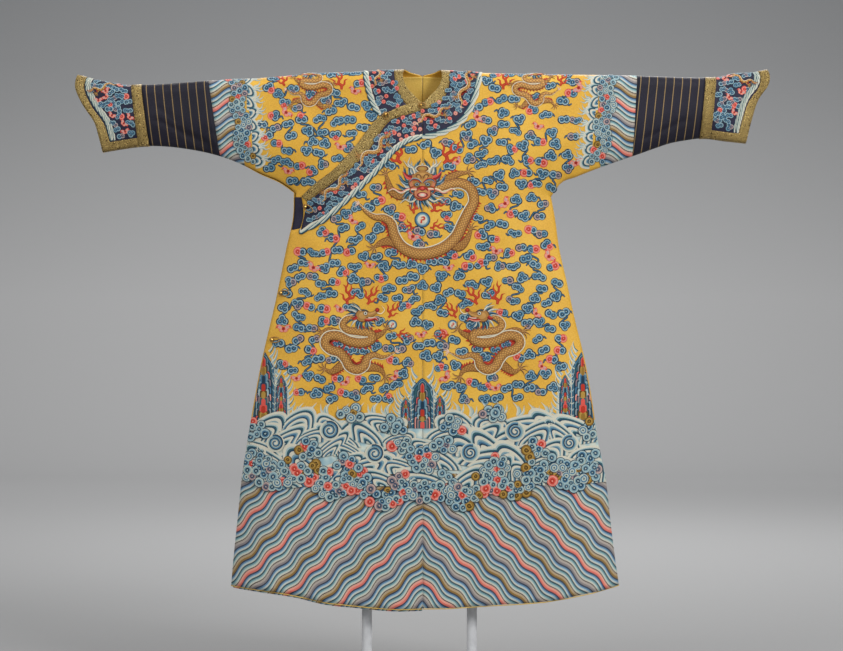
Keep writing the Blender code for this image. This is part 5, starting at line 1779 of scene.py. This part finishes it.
# Backdrop, world and camera. The wall is far enough behind to leave the other views free.
studio = {
    "sweepRadius": 3.0,
    "floorEnd": 8.5,
    "reach": 16.0,
    "wallTop": 12.0,
    # Backdrop greys: painted light and shade, lighter further back on the floor and darker up the wall
    "greys": ((0.0, (147, 147, 147)), (0.12, (177, 177, 177)), (0.40, (174, 174, 174)), (0.87, (131, 132, 133))),
    "world": (0.78, 0.79, 0.82, 1),
    "worldStrength": 0.32,
    "camera": (-0.0024, -6.04, 0.966),
    "lens": 96.7,
}


# Seamless sweep: a flat floor, a quarter turn of the radius, then the wall. Its grey is painted light and shade,
# worked out from the height and, on the floor, from the distance: lighter further back on the floor, darker up
# the wall.
def makeBackdrop():
    turn = np.linspace(0, math.pi / 2, 24)
    radius = studio["sweepRadius"]
    floorEnd = studio["floorEnd"]
    reach = studio["reach"]
    y = np.concatenate([[-reach, -2.0], floorEnd + radius * np.sin(turn), [floorEnd + radius]])
    z = np.concatenate([[0.0, 0.0], radius * (1 - np.cos(turn)), [studio["wallTop"]]])
    x = np.linspace(-reach, reach, 7)
    points = np.stack([np.broadcast_to(x[None, :], (len(y), 7)), np.repeat(y[:, None], 7, axis=1),
                       np.repeat(z[:, None], 7, axis=1)], axis=-1)
    index = np.arange(len(y) * 7).reshape(len(y), 7)
    cells = np.stack([index[:-1, :-1], index[:-1, 1:], index[1:, 1:], index[1:, :-1]], axis=-1).reshape(-1, 4)
    mesh = bpy.data.meshes.new("backdrop")
    mesh.from_pydata(points.reshape(-1, 3).tolist(), [], cells.tolist())
    mesh.shade_smooth()
    item = bpy.data.objects.new("backdrop", mesh)
    bpy.context.scene.collection.objects.link(item)
    material, tree, shader = newMaterial("grey backdrop paper", 0.9)
    place = add(tree, "TexCoord")
    split = add(tree, "SeparateXYZ", {0: place.outputs["Object"]})
    grain = add(tree, "TexNoise", {"Vector": place.outputs["Object"], "Scale": 40.0})
    # Painted light falloff: the grey follows the height and the distance, not the lamps
    share = maths(tree, "DIVIDE", split.outputs[2], 5.0)
    share = maths(tree, "ADD", share, maths(tree, "MULTIPLY", split.outputs[1], 0.015))
    share = maths(tree, "ADD", share, maths(tree, "MULTIPLY", grain.outputs[0], 0.01))
    tree.links.new(ramp(tree, share, studio["greys"]), shader.inputs["Base Color"])
    mesh.materials.append(material)


def addLight(name, place, target, size, power):
    data = bpy.data.lights.new(name, "AREA")
    data.shape = "RECTANGLE"
    data.size, data.size_y = size
    data.energy = power
    item = bpy.data.objects.new(name, data)
    bpy.context.scene.collection.objects.link(item)
    item.location = place
    direction = np.array(target) - np.array(place)
    yaw = math.atan2(direction[1], direction[0]) - math.pi / 2
    pitch = math.atan2(direction[2], math.hypot(direction[0], direction[1]))
    item.rotation_euler = (math.pi / 2 + pitch, 0, yaw)


makeBackdrop()
lights = {
    "key": {"place": (3.4, -4.0, 3.8), "target": (0, 0, 0.9), "size": (1.8, 1.8), "power": 214},
    "fill": {"place": (-4.6, -4.4, 3.2), "target": (0, 0, 0.9), "size": (2.6, 2.2), "power": 105},
    "top": {"place": (0.0, -0.8, 4.6), "target": (0, 0.3, 0.9), "size": (4.0, 2.0), "power": 50},
    "wall": {"place": (0.0, 6.6, 6.4), "target": (0, 11.5, 1.6), "size": (8.0, 1.2), "power": 330},
    "back": {"place": (0.6, 4.2, 4.2), "target": (0, 0, 0.8), "size": (3.6, 2.4), "power": 190},
}
for name, light in lights.items():
    addLight(name, light["place"], light["target"], light["size"], light["power"])
world = bpy.data.worlds.new("studio")
world.use_nodes = True
world.node_tree.nodes["Background"].inputs[0].default_value = studio["world"]
world.node_tree.nodes["Background"].inputs[1].default_value = studio["worldStrength"]
bpy.context.scene.world = world

camera = bpy.data.cameras.new("camera")
camera.lens = studio["lens"]
camera.sensor_width = 36
cameraObject = bpy.data.objects.new("camera", camera)
bpy.context.scene.collection.objects.link(cameraObject)
cameraObject.location = studio["camera"]
cameraObject.rotation_euler = (math.pi / 2, 0, 0)
bpy.context.scene.camera = cameraObject
print("stage ready")
